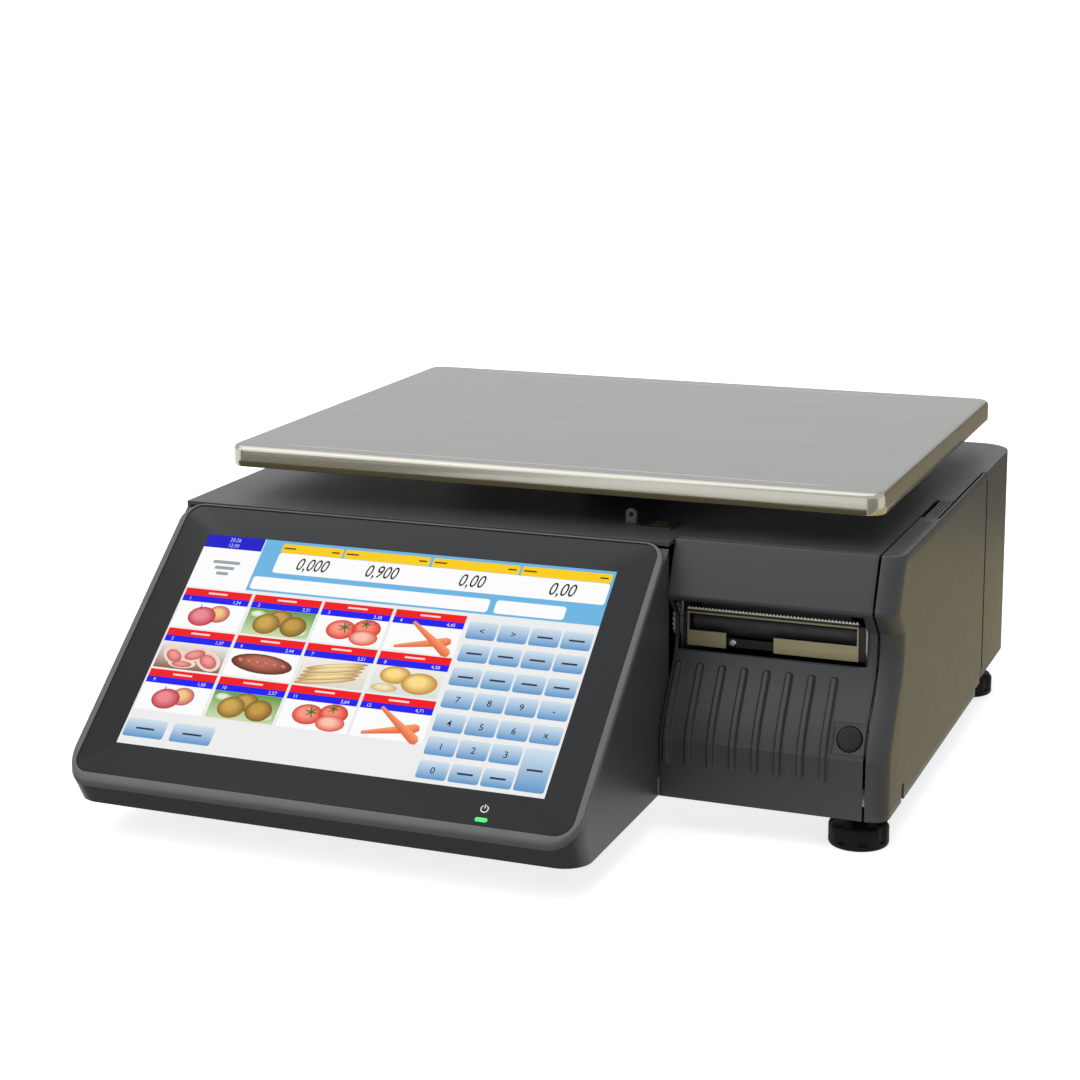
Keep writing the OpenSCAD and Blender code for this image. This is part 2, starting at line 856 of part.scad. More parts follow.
module release_button() {
  color([0.1, 0.1, 0.1])
    at_button() {
      translate([0, 0, button_proud - button_t])
        cylinder(h = button_t - 1, r = button_r);
      translate([0, 0, -0.2])
        cylinder(h = 1, r = button_r - 0.6);
      translate([0, 0, well_z - 2*guide_wall])
        cylinder(h = 2*guide_wall - well_z - button_t + 1.5, r = 2);
    }
}

module button_spring() {
  color([0.75, 0.76, 0.77])
    at_button()
      translate([0, 0, well_z])
        difference() {
          cylinder(h = button_proud - button_t - well_z, r = 4);
          translate([0, 0, -1])
            cylinder(h = 10, r = 3.2);
        }
}

// ---- printer mechanism ---------------------------------------------------

plate_y1 = supply_c[0] + 20;
plate_z0 = floor_top;

module side_plate(x0) {
  difference() {
    along_x(x0, plate_t)
      polygon([
        [plate_y0, platen_z - 16], [plate_y0 + 6, platen_z - 24],
        [plate_y0 + 6, plate_z0], [plate_y1, plate_z0],
        [plate_y1, supply_c[1] + 12], [supply_c[0] - 12, supply_c[1] + 12],
        [head_pin_c[0] + 12, z_under - 8], [plate_y0 + 10, z_under - 8],
        [plate_y0 + 10, platen_z + 14], [plate_y0, platen_z + 14]
      ]);
    // Cut-out behind the rewind spool.
    along_x(x0 - 1, plate_t + 2)
      round_rect(rewind_c[0] + 32, plate_z0 + 12, 50, 30, 6);
    rod_x(x0 - 1, plate_t + 2, platen_c, shaft_r + bush_wall);
    rod_x(x0 - 1, plate_t + 2, rewind_c, rewind_shaft_r + bush_wall);
    rod_x(x0 - 1, plate_t + 2, head_pin_c, head_pin_r);
    rod_x(x0 - 1, plate_t + 2, supply_c, spool_pin_r);
  }
}

module plate_foot(x0, side) {
  block(side > 0 ? x0 : x0 - 10, side > 0 ? x0 + 10 : x0, plate_y0 + 20, plate_y1 - 20,
        plate_z0, plate_z0 + plate_t);
}

module printer_left_plate() {
  color([0.7, 0.71, 0.72])
    difference() {
      union() {
        side_plate(plate_x0);
        plate_foot(plate_x0 + plate_t, 1);
      }
      rod_x(plate_x0 - 1, plate_t + 2, idler_c, idler_pin_r);
    }
}

module printer_right_plate() {
  color([0.7, 0.71, 0.72]) {
    side_plate(plate_x1);
    plate_foot(plate_x1, -1);
  }
}

module frame_stays() {
  color([0.75, 0.76, 0.77])
    for (p = [[plate_y1 - 10, plate_z0 + 20], [head_pin_c[0] + 8, z_under - 14],
              [plate_y0 + 16, plate_z0 + 20]])
      rod_x(plate_x0 + plate_t, plate_x1 - plate_x0 - plate_t, p, 3);
}

module platen_roller() {
  color([0.12, 0.12, 0.13])
    difference() {
      rod_x(rubber_x0, rubber_len, platen_c, platen_r);
      rod_x(rubber_x0 - 1, rubber_len + 2, platen_c, shaft_r);
    }
}

module platen_shaft() {
  color([0.8, 0.8, 0.82])
    rod_x(gear_x0, plate_x1 + plate_t + 2 - gear_x0, platen_c, shaft_r);
}

module bush(x0, c, r) {
  difference() {
    union() {
      rod_x(x0, plate_t, c, r + bush_wall);
      rod_x(x0 + plate_t, 1.2, c, r + bush_wall + 1);
    }
    rod_x(x0 - 1, plate_t + 4, c, r + run_gap);
  }
}

module bush_pair(c, r) {
  bush(plate_x0, c, r);
  translate([2*plate_x1 + plate_t, 0, 0])
    mirror([1, 0, 0])
      bush(plate_x1, c, r);
}

module platen_bushes() {
  color([0.8, 0.66, 0.3])
    bush_pair(platen_c, shaft_r);
}

module rewind_bushes() {
  color([0.8, 0.66, 0.3])
    bush_pair(rewind_c, rewind_shaft_r);
}

module platen_gear() {
  color([0.9, 0.9, 0.86])
    gear(platen_n, platen_phase, platen_c, shaft_r);
}

module idler_gear() {
  color([0.9, 0.9, 0.86])
    gear(idler_n, idler_phase, idler_c, idler_pin_r + run_gap);
}

module rewind_gear() {
  color([0.9, 0.9, 0.86])
    gear(rewind_n, rewind_phase, rewind_c, rewind_shaft_r);
}

module motor_pinion() {
  color([0.8, 0.66, 0.3])
    gear(pinion_n, pinion_phase, pinion_c, motor_shaft_r);
}

module idler_pin() {
  color([0.75, 0.76, 0.77]) {
    rod_x(gear_x0 - 0.4, plate_x0 + plate_t - gear_x0 + 0.4, idler_c, idler_pin_r);
  }
}

module motor_plate() {
  half = motor_size/2;
  y0 = pinion_c[0] - half;
  y1 = pinion_c[0] + half;
  z0 = pinion_c[1] - half;
  z1 = pinion_c[1] + half;
  color([0.7, 0.71, 0.72])
    difference() {
      union() {
        block(motor_plate_x, motor_plate_x + motor_plate_t, y0, y1, z0, z1);
        for (y = [y1 - 4], z = [z0 + 4, z1 - 4])
          rod_x(motor_plate_x, plate_x0 - motor_plate_x, [y, z], 3);
        rod_x(motor_plate_x, plate_x0 - motor_plate_x, [y0 + 4, z1 - 4], 3);
      }
      rod_x(motor_plate_x - 1, motor_plate_t + 2, pinion_c, 11.2);
    }
}

module stepper_motor() {
  half = motor_size/2;
  color([0.15, 0.15, 0.16])
    difference() {
      union() {
        block(motor_plate_x - motor_len, motor_plate_x, pinion_c[0] - half,
              pinion_c[0] + half, pinion_c[1] - half, pinion_c[1] + half);
        rod_x(motor_plate_x - 1, 2.5, pinion_c, 11);
      }
      rod_x(motor_plate_x - 12, 30, pinion_c, motor_shaft_r + run_gap);
    }
}

// The head rests on the paper line above the platen and lifts about its pin.
module print_head() {
  x0 = rubber_x0 + 4;
  x1 = rubber_x0 + rubber_len - 4;
  z0 = platen_z + platen_r + 0.3;
  color([0.75, 0.76, 0.78])
    block(x0, x1, platen_y - 5, platen_y + 17, z0, z0 + 7);
}

module head_holder() {
  x0 = rubber_x0;
  x1 = rubber_x0 + rubber_len;
  z0 = platen_z + platen_r + 7.3;
  color([0.2, 0.5, 0.3])
    difference() {
      union() {
        block(x0, x1, platen_y - 3, head_pin_c[0] + 2, z0, z0 + 4);
        for (x = [x0, x1 - 6])
          along_x(x, 6)
            polygon([
              [head_pin_c[0] - 12, z0 + 1], [head_pin_c[0] + 4, z0 + 1],
              [head_pin_c[0] + 6, head_pin_c[1]], [head_pin_c[0], head_pin_c[1] + 6],
              [head_pin_c[0] - 7, head_pin_c[1]]
            ]);
        // Finger tab at the door side.
        block(x1 - 20, x1, platen_y - 3, platen_y + 4, z0 + 3, z0 + 9);
      }
      rod_x(x0 - 1, x1 - x0 + 2, head_pin_c, head_pin_r + run_gap);
    }
}

module head_pivot_pin() {
  color([0.75, 0.76, 0.77])
    rod_x(plate_x0, plate_x1 + plate_t - plate_x0, head_pin_c, head_pin_r);
}

tooth_pitch = 2;
tooth_h = 1.3;

module tear_bar() {
  x0 = bay_mid - tear_w/2;
  n = floor(tear_w/tooth_pitch);
  y0 = y_recess + 3.2;
  z1 = window_z1 - 7;
  color([0.8, 0.8, 0.76])
    translate([0, y0 + 1, 0])
      rotate([90, 0, 0])
        linear_extrude(1)
          polygon(concat(
            [[x0, z1 - 3], [x0 + n*tooth_pitch, z1 - 3]],
            [for (i = [n:-1:1]) each [
              [x0 + i*tooth_pitch, z1 - tooth_h], [x0 + (i - 0.5)*tooth_pitch, z1]]],
            [[x0, z1 - tooth_h]]));
}

module exit_guide() {
  x0 = bay_mid - tear_w/2;
  x1 = x0 + tear_w;
  y0 = y_recess + 3.2;
  z1 = window_z1 - 10;
  z0 = window_z0 + 1;
  mid0 = x0 + 23;
  mid1 = x0 + 51;
  color([0.62, 0.58, 0.42])
    difference() {
      union() {
        block(x0, x1, y0, y0 + 1, z0, z1);
        // Returns to the side plates.
        block(plate_x0 + plate_t, x0 + 1, y0 + 1, y0 + 7, z0, z1);
        block(x1 - 1, plate_x1, y0 + 1, y0 + 7, z0, z1);
        // Recessed strip in the middle.
        block(mid0 - 1, mid1 + 1, y0 + 4, y0 + 5, z0, z0 + 5);
        block(mid0 - 1, mid0, y0, y0 + 5, z0, z0 + 5);
        block(mid1, mid1 + 1, y0, y0 + 5, z0, z0 + 5);
      }
      block(x0 + 1, x1 - 1, y0 - 1, y0 + 2, z0 + 9, z1 - 1);
      block(mid0, mid1, y0 - 1, y0 + 2, z0 - 1, z1 - 1);
      at_guide_screw()
        translate([0, 0, -10])
          cylinder(h = 20, r = guide_screw_r + run_gap);
    }
}

// Front face of the guide's strip, with local Z out of it.
module at_guide_screw() {
  translate([bay_mid - tear_w/2 + 26, y_recess + 7.2, window_z0 + 3.5])
    rotate([90, 0, 0])
      children();
}

module guide_screw() {
  slot_w = 0.5;
  color([0.8, 0.8, 0.8])
    at_guide_screw()
      difference() {
        union() {
          cylinder(h = 0.8, r = 2.1);
          translate([0, 0, 0.8])
            cylinder(h = 0.6, r1 = 2.1, r2 = 1.4);
          translate([0, 0, -4])
            cylinder(h = 4.5, r = guide_screw_r);
        }
        for (a = [0, 90])
          rotate([0, 0, a + 20])
            translate([-1.5, -slot_w/2, 0.7])
              cube([3, slot_w, 2]);
      }
}

module supply_spool() {
  x0 = plate_x0 + plate_t + 1;
  x1 = plate_x1 - 1;
  color([0.2, 0.2, 0.21])
    difference() {
      union() {
        rod_x(x0, x1 - x0, supply_c, 19);
        rod_x(x0, 2, supply_c, supply_r);
        rod_x(x1 - 2, 2, supply_c, supply_r);
      }
      rod_x(x0 - 1, x1 - x0 + 2, supply_c, spool_pin_r + run_gap);
      rod_x(x0 + 6, x1 - x0 - 12, supply_c, 17);
    }
}

module supply_spindle() {
  color([0.75, 0.76, 0.77])
    rod_x(plate_x0, plate_x1 + plate_t - plate_x0, supply_c, spool_pin_r);
}

module rewind_spool() {
  x0 = plate_x0 + plate_t + 2;
  x1 = plate_x1 - 2;
  color([0.2, 0.2, 0.21]) {
    rod_x(x0, x1 - x0, rewind_c, rewind_r);
    rod_x(x0, 1.5, rewind_c, 22);
    rod_x(gear_x0, plate_x1 + plate_t + 1 - gear_x0, rewind_c, rewind_shaft_r);
  }
}

// ---- feet ----------------------------------------------------------------

module levelling_foot(x, y) {
  lobes = 8;
  color([0.08, 0.08, 0.08])
    union() {
      difference() {
        rod_z(x, y, 0, pad_h, foot_r);
        for (i = [0:lobes - 1])
          rod_z(x + (foot_r + 3.2)*cos(i*360/lobes + 22.5),
                y + (foot_r + 3.2)*sin(i*360/lobes + 22.5), 3, pad_h, 4.6);
      }
      rod_z(x, y, pad_h - 1, floor_z + boss_h + 8 - pad_h, stem_r);
    }
}

module foot_front_left() { levelling_foot(-foot_x, foot_y0); }
module foot_front_right() { levelling_foot(foot_x, foot_y0); }
module foot_rear_left() { levelling_foot(-foot_x, foot_y1); }
module foot_rear_right() { levelling_foot(foot_x, foot_y1); }

module foot_lock_nuts() {
  color([0.7, 0.71, 0.72])
    for (x = [-foot_x, foot_x], y = [foot_y0, foot_y1])
      difference() {
        translate([x, y, floor_z - nut_h])
          cylinder(h = nut_h, r = nut_r, $fn = 6);
        rod_z(x, y, floor_z - nut_h - 1, nut_h + 2, stem_r + stem_gap);
      }
}

// ---- weighing parts ------------------------------------------------------

module cell_base_block() {
  color([0.6, 0.61, 0.63])
    block(-cell_w/2 - 4, cell_w/2 + 4, pan_y - cell_l/2, pan_y - cell_l/2 + cell_end,
          floor_top, cell_z0);
}

module load_cell() {
  mid = (cell_z0 + cell_z1)/2;
  hole = cell_h/2 - 5;
  color([0.78, 0.79, 0.8])
    difference() {
      block(-cell_w/2, cell_w/2, pan_y - cell_l/2, pan_y + cell_l/2, cell_z0, cell_z1);
      for (y = [pan_y - 17, pan_y + 17])
        rod_x(-cell_w, 2*cell_w, [y, mid], hole);
      block(-cell_w, cell_w, pan_y - 17, pan_y + 17, mid - 5, mid + 5);
    }
}

module load_bracket() {
  color([0.68, 0.69, 0.71]) {
    block(-cell_w/2 - 4, cell_w/2 + 4, pan_y + cell_l/2 - cell_end, pan_y + cell_l/2,
          cell_z1, bridge_z);
    block(-bridge_w/2, bridge_w/2, pan_y - cell_l/2, pan_y + cell_l/2, bridge_z,
          bridge_z + bridge_t);
    rod_z(0, pan_y, bridge_z + bridge_t - 1, hub_z - bridge_z - bridge_t + 1, column_r);
  }
}

module pan_spider() {
  reach = norm([pad_x, pad_y]);
  color([0.3, 0.31, 0.32]) {
    rod_z(0, pan_y, hub_z, arm_z1 - hub_z, 30);
    for (sx = [-1, 1], sy = [-1, 1])
      translate([0, pan_y, arm_z1 - arm_t])
        rotate([0, 0, atan2(sy*pad_y, sx*pad_x)]) {
          translate([0, -arm_w/2, 0])
            cube([reach, arm_w, arm_t]);
          translate([reach, 0, 0])
            cylinder(h = arm_t, r = arm_w/2);
        }
  }
}

module pan_pads() {
  color([0.1, 0.1, 0.1])
    for (sx = [-1, 1], sy = [-1, 1])
      rod_z(sx*pad_x, pan_y + sy*pad_y, arm_z1, pad_drop, pad_r);
}

module overload_stops() {
  color([0.75, 0.76, 0.77])
    for (x = [-1, 1], y = [-1, 1])
      rod_z(x*(bridge_w/2 - stop_r - 1), pan_y + y*(cell_l/2 - 12), floor_top,
            bridge_z - stop_gap - floor_top, stop_r);
}

module weighing_pan() {
  bead = 11;
  color([0.72, 0.72, 0.72])
    difference() {
      union() {
        translate([0, 0, pan_low])
          linear_extrude(pan_rim)
            round_rect(-pan_w/2, pan_y - pan_d/2, pan_w, pan_d, pan_r);
      }
      translate([0, 0, pan_low - 1])
        linear_extrude(pan_rim - pan_t + 1)
          round_rect(-pan_w/2 + pan_t, pan_y - pan_d/2 + pan_t, pan_w - 2*pan_t,
                     pan_d - 2*pan_t, pan_r - pan_t);
      // Shallow step behind the front and rear edges.
      for (y = [pan_y - pan_d/2 + bead, pan_y + pan_d/2 - bead - 1.5])
        block(-pan_w/2 + 34, pan_w/2 - 34, y, y + 1.5, pan_top - 0.5, pan_top + 1);
    }
}

// ---- electronics ---------------------------------------------------------

board_z = floor_top + 5.5;
board_x0 = x_left + 26;
board_y0 = y_front + 46;

module main_board() {
  w = 160;
  d = 90;
  color([0.1, 0.35, 0.2]) {
    block(board_x0, board_x0 + w, board_y0, board_y0 + d, board_z, board_z + 1.6);
    for (x = [5, w - 5], y = [5, d - 5])
      rod_z(board_x0 + x, board_y0 + y, floor_top, board_z - floor_top + 0.1, 3);
    block(board_x0 + 60, board_x0 + 95, board_y0 + 30, board_y0 + 65, board_z + 1.5,
          board_z + 7);
    for (i = [0:3])
      block(board_x0 + 12 + 34*i, board_x0 + 30 + 34*i, board_y0 + 76, board_y0 + 86,
            board_z + 1.5, board_z + 9);
  }
}

module power_supply() {
  x0 = x_left + 24;
  y0 = pan_y - 20;
  color([0.62, 0.63, 0.64])
    difference() {
      block(x0, x0 + 70, y0, y0 + 115, floor_top, floor_top + 38);
      block(x0 + 1, x0 + 69, y0 + 1, y0 + 114, floor_top + 1, floor_top + 37);
      for (i = [0:9])
        block(x0 + 12, x0 + 58, y0 + 12 + 9.5*i, y0 + 16 + 9.5*i, floor_top + 30,
              floor_top + 40);
    }
}

module wireless_module() {
  x0 = x_left + wall;
  color([0.1, 0.35, 0.2])
    block(x0, x0 + 2, pan_y - 90, pan_y - 45, z_under - 45, z_under - 20);
}

module speaker() {
  x0 = x_left + wall;
  c = [y_front + 110, z_low + 40];
  color([0.15, 0.15, 0.15])
    difference() {
      union() {
        rod_x(x0, 4, c, 20);
        rod_x(x0 + 4, 8, c, 12);
      }
      rod_x(x0 - 1, 3, c, 16);
    }
}

module cover_screws() {
  color([0.75, 0.76, 0.77])
    for (i = [0:len(screw_spots) - 1]) {
      s = screw_spots[i];
      rod_z(s[0], s[1], floor_z - 2, 2, 2*screw_r);
      rod_z(s[0], s[1], floor_z - 1, floor_t + lug_hs[i] - 0.5, screw_r);
    }
}

base_chassis();
display_housing();
main_cover();
rear_panel();
side_door();
door_hinge_pins();
door_latch();
printer_front_cover();
release_button();
button_spring();
touch_glass();
display_bezel();
lcd_module();
lcd_bracket();
status_led_lens();
foot_front_left();
foot_front_right();
foot_rear_left();
foot_rear_right();
foot_lock_nuts();
level_housing();
level_vial();
seal_lug();
load_cell();
cell_base_block();
load_bracket();
pan_spider();
pan_pads();
weighing_pan();
overload_stops();
printer_left_plate();
printer_right_plate();
print_head();
head_holder();
head_pivot_pin();
platen_roller();
platen_shaft();
platen_bushes();
platen_gear();
idler_gear();
idler_pin();
motor_pinion();
stepper_motor();
motor_plate();
tear_bar();
exit_guide();
guide_screw();
supply_spool();
supply_spindle();
rewind_spool();
rewind_gear();
rewind_bushes();
main_board();
power_supply();
wireless_module();
speaker();
mains_inlet();
network_port();
frame_stays();
cover_screws();
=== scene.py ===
import math

import bmesh
import bpy
import numpy as np
from mathutils import Matrix, Vector


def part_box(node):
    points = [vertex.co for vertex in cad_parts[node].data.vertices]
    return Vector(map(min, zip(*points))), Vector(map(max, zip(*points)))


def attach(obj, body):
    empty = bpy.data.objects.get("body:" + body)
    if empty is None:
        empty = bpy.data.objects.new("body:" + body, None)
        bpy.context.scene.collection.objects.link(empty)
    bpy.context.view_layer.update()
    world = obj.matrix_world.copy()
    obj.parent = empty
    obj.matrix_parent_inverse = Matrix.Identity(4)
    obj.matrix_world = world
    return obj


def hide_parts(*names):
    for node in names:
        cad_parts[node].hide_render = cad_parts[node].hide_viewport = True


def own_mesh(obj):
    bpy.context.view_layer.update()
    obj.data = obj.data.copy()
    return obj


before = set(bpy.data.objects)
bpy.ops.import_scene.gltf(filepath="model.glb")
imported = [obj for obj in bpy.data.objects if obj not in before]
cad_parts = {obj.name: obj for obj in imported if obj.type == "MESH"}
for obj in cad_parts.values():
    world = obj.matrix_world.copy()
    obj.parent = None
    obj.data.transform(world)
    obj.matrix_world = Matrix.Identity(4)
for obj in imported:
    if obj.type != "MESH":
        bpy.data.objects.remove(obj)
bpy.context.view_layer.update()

# ---- Camera ----
# Long lens, from the front and a little to the right and above, with a small
# shift that keeps the scale in the middle of the frame.
TURN, RAISE, ROLL = 0.380178, 0.214705, -0.00885529
CAMERA_AT, LENS_MM, SENSOR_MM, SHIFT = (0.4903, -1.2717, 0.4783), 76.12, 36, (-0.0104, -0.0659)


def shown(name, data):
    """A new object that holds data, linked to the scene."""
    made = bpy.data.objects.new(name, data)
    bpy.context.scene.collection.objects.link(made)
    return made


back = Vector((math.sin(TURN)*math.cos(RAISE), -math.cos(TURN)*math.cos(RAISE), math.sin(RAISE)))
level_right = Vector((math.cos(TURN), math.sin(TURN), 0))
level_up = back.cross(level_right)
right = math.cos(ROLL)*level_right + math.sin(ROLL)*level_up
up = -math.sin(ROLL)*level_right + math.cos(ROLL)*level_up
camera = shown("camera", bpy.data.cameras.new("camera"))
camera.matrix_world = Matrix.Translation(CAMERA_AT) @ Matrix((right, up, back)).transposed().to_4x4()
camera.data.lens, camera.data.sensor_width = LENS_MM, SENSOR_MM
camera.data.shift_x, camera.data.shift_y = SHIFT
bpy.context.scene.camera = camera
bpy.context.scene.view_settings.view_transform = "Standard"

# ---- Studio ----
# Pale floor and white surroundings, two large soft lamps, and dim or warm cards
# that the glossy sides and the pan's rim reflect.
def node(tree, kind, *wires, **settings):
    """Adds a node to a tree. Wires go to its inputs in order; a setting goes to the node itself if its name
    starts small, and else to the input of that name, as a wire or a value."""
    made = tree.nodes.new("ShaderNode" + kind)
    for key, value in settings.items():
        if key[0].islower():
            setattr(made, key, value)
        elif isinstance(value, bpy.types.NodeSocket):
            tree.links.new(value, made.inputs[key.replace("_", " ")])
        else:
            made.inputs[key.replace("_", " ")].default_value = value
    for socket, wire in zip(made.inputs, wires):
        tree.links.new(wire, socket)
    return made


def seen(tree):
    """1 for camera, glossy and transmission rays, 0 for the light on things: the largest of the marks."""
    rays = node(tree, "LightPath").outputs
    first = node(tree, "Math", rays["Is Camera Ray"], rays["Is Glossy Ray"], operation="MAXIMUM")
    return node(tree, "Math", rays["Is Transmission Ray"], first.outputs[0], operation="MAXIMUM").outputs[0]


world = bpy.data.worlds.new("studio")
bpy.context.scene.world = world
world.use_nodes = True
tree = world.node_tree
tree.nodes.clear()
surround = node(tree, "Background", Color=(1, 1, 1, 1), Strength=1.0)
ambient = node(tree, "Background", Color=(0.95, 0.97, 1, 1), Strength=0.5)
choice = node(tree, "MixShader", seen(tree), ambient.outputs[0], surround.outputs[0])
node(tree, "OutputWorld", choice.outputs[0])


def lamp(name, place, size, power, colour):
    """A rectangular area lamp at place, in metres, turned to face the middle of the scale."""
    data = bpy.data.lights.new(name, "AREA")
    data.shape = "RECTANGLE"
    data.size, data.size_y = size
    data.energy = power
    data.color = colour
    made = shown(name, data)
    made.location = place
    made.rotation_euler = (Vector((0, 0, 0.1)) - Vector(place)).to_track_quat("-Z", "Y").to_euler()
    made.visible_camera = False


lamp("overhead", (-0.3, -0.1, 1.7), (2.6, 2.4), 27, (1, 1, 1))
lamp("front_left", (-1.5, -1.6, 1.0), (2.4, 1.8), 13, (0.95, 0.97, 1))


def sheet(name, corners, shade, only_reflected):
    """A flat studio sheet through four corners in metres, covered by the shader that shade(tree) makes."""
    mesh = bpy.data.meshes.new(name)
    mesh.from_pydata(corners, [], [(0, 1, 2, 3)])
    made = shown(name, mesh)
    if only_reflected:
        made.visible_camera = made.visible_diffuse = made.visible_shadow = made.visible_transmission = False
    paint = bpy.data.materials.new(name)
    paint.use_nodes = True
    paint.node_tree.nodes.clear()
    node(paint.node_tree, "OutputMaterial", shade(paint.node_tree).outputs[0])
    mesh.materials.append(paint)


def card(name, corners, colour):
    """A lit sheet that only polished and glossy surfaces see."""
    sheet(name, corners, lambda tree: node(tree, "Emission", Color=colour + (1,), Strength=1.0), True)


def low_card(name, x, y, colour):
    """A card lying just over the floor."""
    card(name, [(x[0], y[0], 0.003), (x[1], y[0], 0.003), (x[1], y[1], 0.003), (x[0], y[1], 0.003)], colour)


low_card("near_right_card", (0.23, 0.9), (-0.3, 0.62), (0.86, 0.75, 0.42))
low_card("far_right_card", (0.23, 1.8), (0.63, 2.4), (0.3, 0.27, 0.2))
card("back_right_card", [(0.5, 2.4, 0), (2.2, 1.6, 0), (2.2, 1.6, 1.2), (0.5, 2.4, 1.2)], (0.3, 0.27, 0.2))
low_card("front_card", (-0.85, 0.2), (-0.8, -0.22), (0.16, 0.14, 0.08))
low_card("front_right_card", (0.22, 1.3), (-1.3, -0.33), (0.5, 0.47, 0.4))
low_card("front_left_card", (-1.3, -0.45), (-1.5, -0.82), (0.4, 0.38, 0.33))


def floor_shade(tree):
    """Matt white under the lamps, and besides a glow of its own for the camera and for reflections."""
    matt = node(tree, "BsdfDiffuse", Color=(0.8, 0.8, 0.8, 1))
    glow = node(tree, "Emission", Color=(1, 1, 1, 1), Strength=0.66)
    nothing = node(tree, "Emission", Color=(0, 0, 0, 1), Strength=0)
    choice = node(tree, "MixShader", seen(tree), nothing.outputs[0], glow.outputs[0])
    return node(tree, "AddShader", matt.outputs[0], choice.outputs[0])


FLOOR_HALF = 3.0
sheet("floor", [(x*FLOOR_HALF, y*FLOOR_HALF, 0) for x, y in ((-1, -1), (1, -1), (1, 1), (-1, 1))], floor_shade,
      False)


def sRGB(code):
    """Linear colour of a two-digits-a-channel code, by the display curve; four numbers are linear already."""
    if len(code) == 4:
        return code
    parts = [int(code[i:i + 2], 16)/255 for i in (0, 2, 4)]
    return tuple(c/12.92 if c < 0.04045 else ((c + 0.055)/1.055)**2.4 for c in parts) + (1,)


def finish(name, slot, colour, shade=0.85, patch=14.0, roughness=(0.4, 0.5), rough_scale=60.0, grain=0.15,
           grain_scale=900.0, stretch=(1, 1, 1), metallic=0.0, **fixed):
    """A surface finish, its slot argument not used: two near colours blended by a soft noise, a roughness that
    wanders between two values, and a fine grain that tilts the surface. stretch pulls the grain out along an
    axis."""
    made = bpy.data.materials.new(name)
    made.use_nodes = True
    tree = made.node_tree
    shader = tree.nodes["Principled BSDF"]
    colour = sRGB(colour)
    place = node(tree, "TexCoord").outputs["Object"]
    pull = node(tree, "Mapping", place, Scale=stretch).outputs[0]
    patches = node(tree, "TexNoise", Vector=place, Scale=patch, Detail=3.0, Roughness=0.6)
    tones = node(tree, "Mix", data_type="RGBA", Factor=patches.outputs["Fac"],
                 A=tuple(c*shade for c in colour[:3]) + (1,), B=colour)
    wear = node(tree, "TexNoise", Vector=pull, Scale=rough_scale, Detail=2.0)
    gloss = node(tree, "MapRange", Value=wear.outputs["Fac"], From_Min=0.3, From_Max=0.7, To_Min=roughness[0],
                 To_Max=roughness[1])
    grains = node(tree, "TexNoise", Vector=pull, Scale=grain_scale, Detail=2.0)
    tilt = node(tree, "Bump", Height=grains.outputs["Fac"], Strength=grain, Distance=0.0002)
    for key, source in (("Base Color", tones.outputs["Result"]), ("Roughness", gloss.outputs[0]),
                        ("Normal", tilt.outputs[0])):
        tree.links.new(source, shader.inputs[key])
    for key, value in {"Metallic": metallic, **fixed}.items():
        shader.inputs[key.replace("_", " ")].default_value = value
    return made


def clean_copy(node_name):
    """A merged copy of a CAD node's loose triangles, with the flat faces joined again."""
    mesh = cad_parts[node_name].data.copy()
    work = bmesh.new()
    work.from_mesh(mesh)
    bmesh.ops.remove_doubles(work, verts=work.verts, dist=2e-6)
    bmesh.ops.dissolve_limit(work, angle_limit=0.005, verts=work.verts, edges=work.edges)
    work.to_mesh(mesh)
    work.free()
    return mesh


def place_piece(name, mesh, surface, replaces=(), body="casing", smooth=35):
    """Shows a finished mesh as a piece: its finish, its shading, the body it rides on and the nodes it
    stands for."""
    made = shown(name, mesh)
    mesh.name = name
    mesh.materials.clear()
    mesh.materials.append(surface)
    mesh.shade_smooth()
    mesh.set_sharp_from_angle(angle=math.radians(smooth))
    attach(made, body)
    if replaces:
        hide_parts(*replaces)
    return made


def recast(node_name, surface, edge=0.4, body="casing", segments=2, smooth=35):
    """The CAD node's own shape with its sharp edges rounded by edge millimetres."""
    made = place_piece(node_name + "_finished", clean_copy(node_name), surface, (node_name,), body, smooth)
    if edge:
        rounding = made.modifiers.new("rounding", "BEVEL")
        rounding.width = edge/1000
        rounding.segments = segments
        rounding.limit_method = "ANGLE"
        rounding.angle_limit = math.radians(40)
        rounding.harden_normals = True
        rounding.use_clamp_overlap = True
    return made


zinc = finish("zinc_plate", "zinc_sheet", "b4b8bc", shade=0.8, patch=40, roughness=(0.32, 0.5), metallic=1,
              grain=0.1)
pin_steel = finish("bright_pins", "steel_pin", "c4c6c8", shade=0.9, roughness=(0.2, 0.32), metallic=1,
                   grain=0.05, stretch=(0.1, 1, 1))
recast("base_chassis", zinc, 0.3)
recast("foot_lock_nuts", zinc, 0.3)
recast("cover_screws", pin_steel, 0.3)
recast("door_hinge_pins", pin_steel, 0.2)

# ---- Levelling feet ----
# Black moulded rubber-faced discs with eight finger scallops, each on a screw
# stem that turns in a threaded boss of the chassis.
MM = 0.001


def points(*parts):
    """Points with the parts as their coordinates, each an array or one number for all."""
    return np.stack(np.broadcast_arrays(*parts), -1)


def grid_faces(rows, columns, closed=False):
    """Four-sided faces of a grid of rows x columns points; closed joins the last column to the first."""
    i = np.arange(rows - 1)[:, None]
    j = np.arange(columns if closed else columns - 1)[None, :]
    k = (j + 1) % columns
    return points(i*columns + j, i*columns + k, (i + 1)*columns + k, (i + 1)*columns + j).reshape(-1, 4)


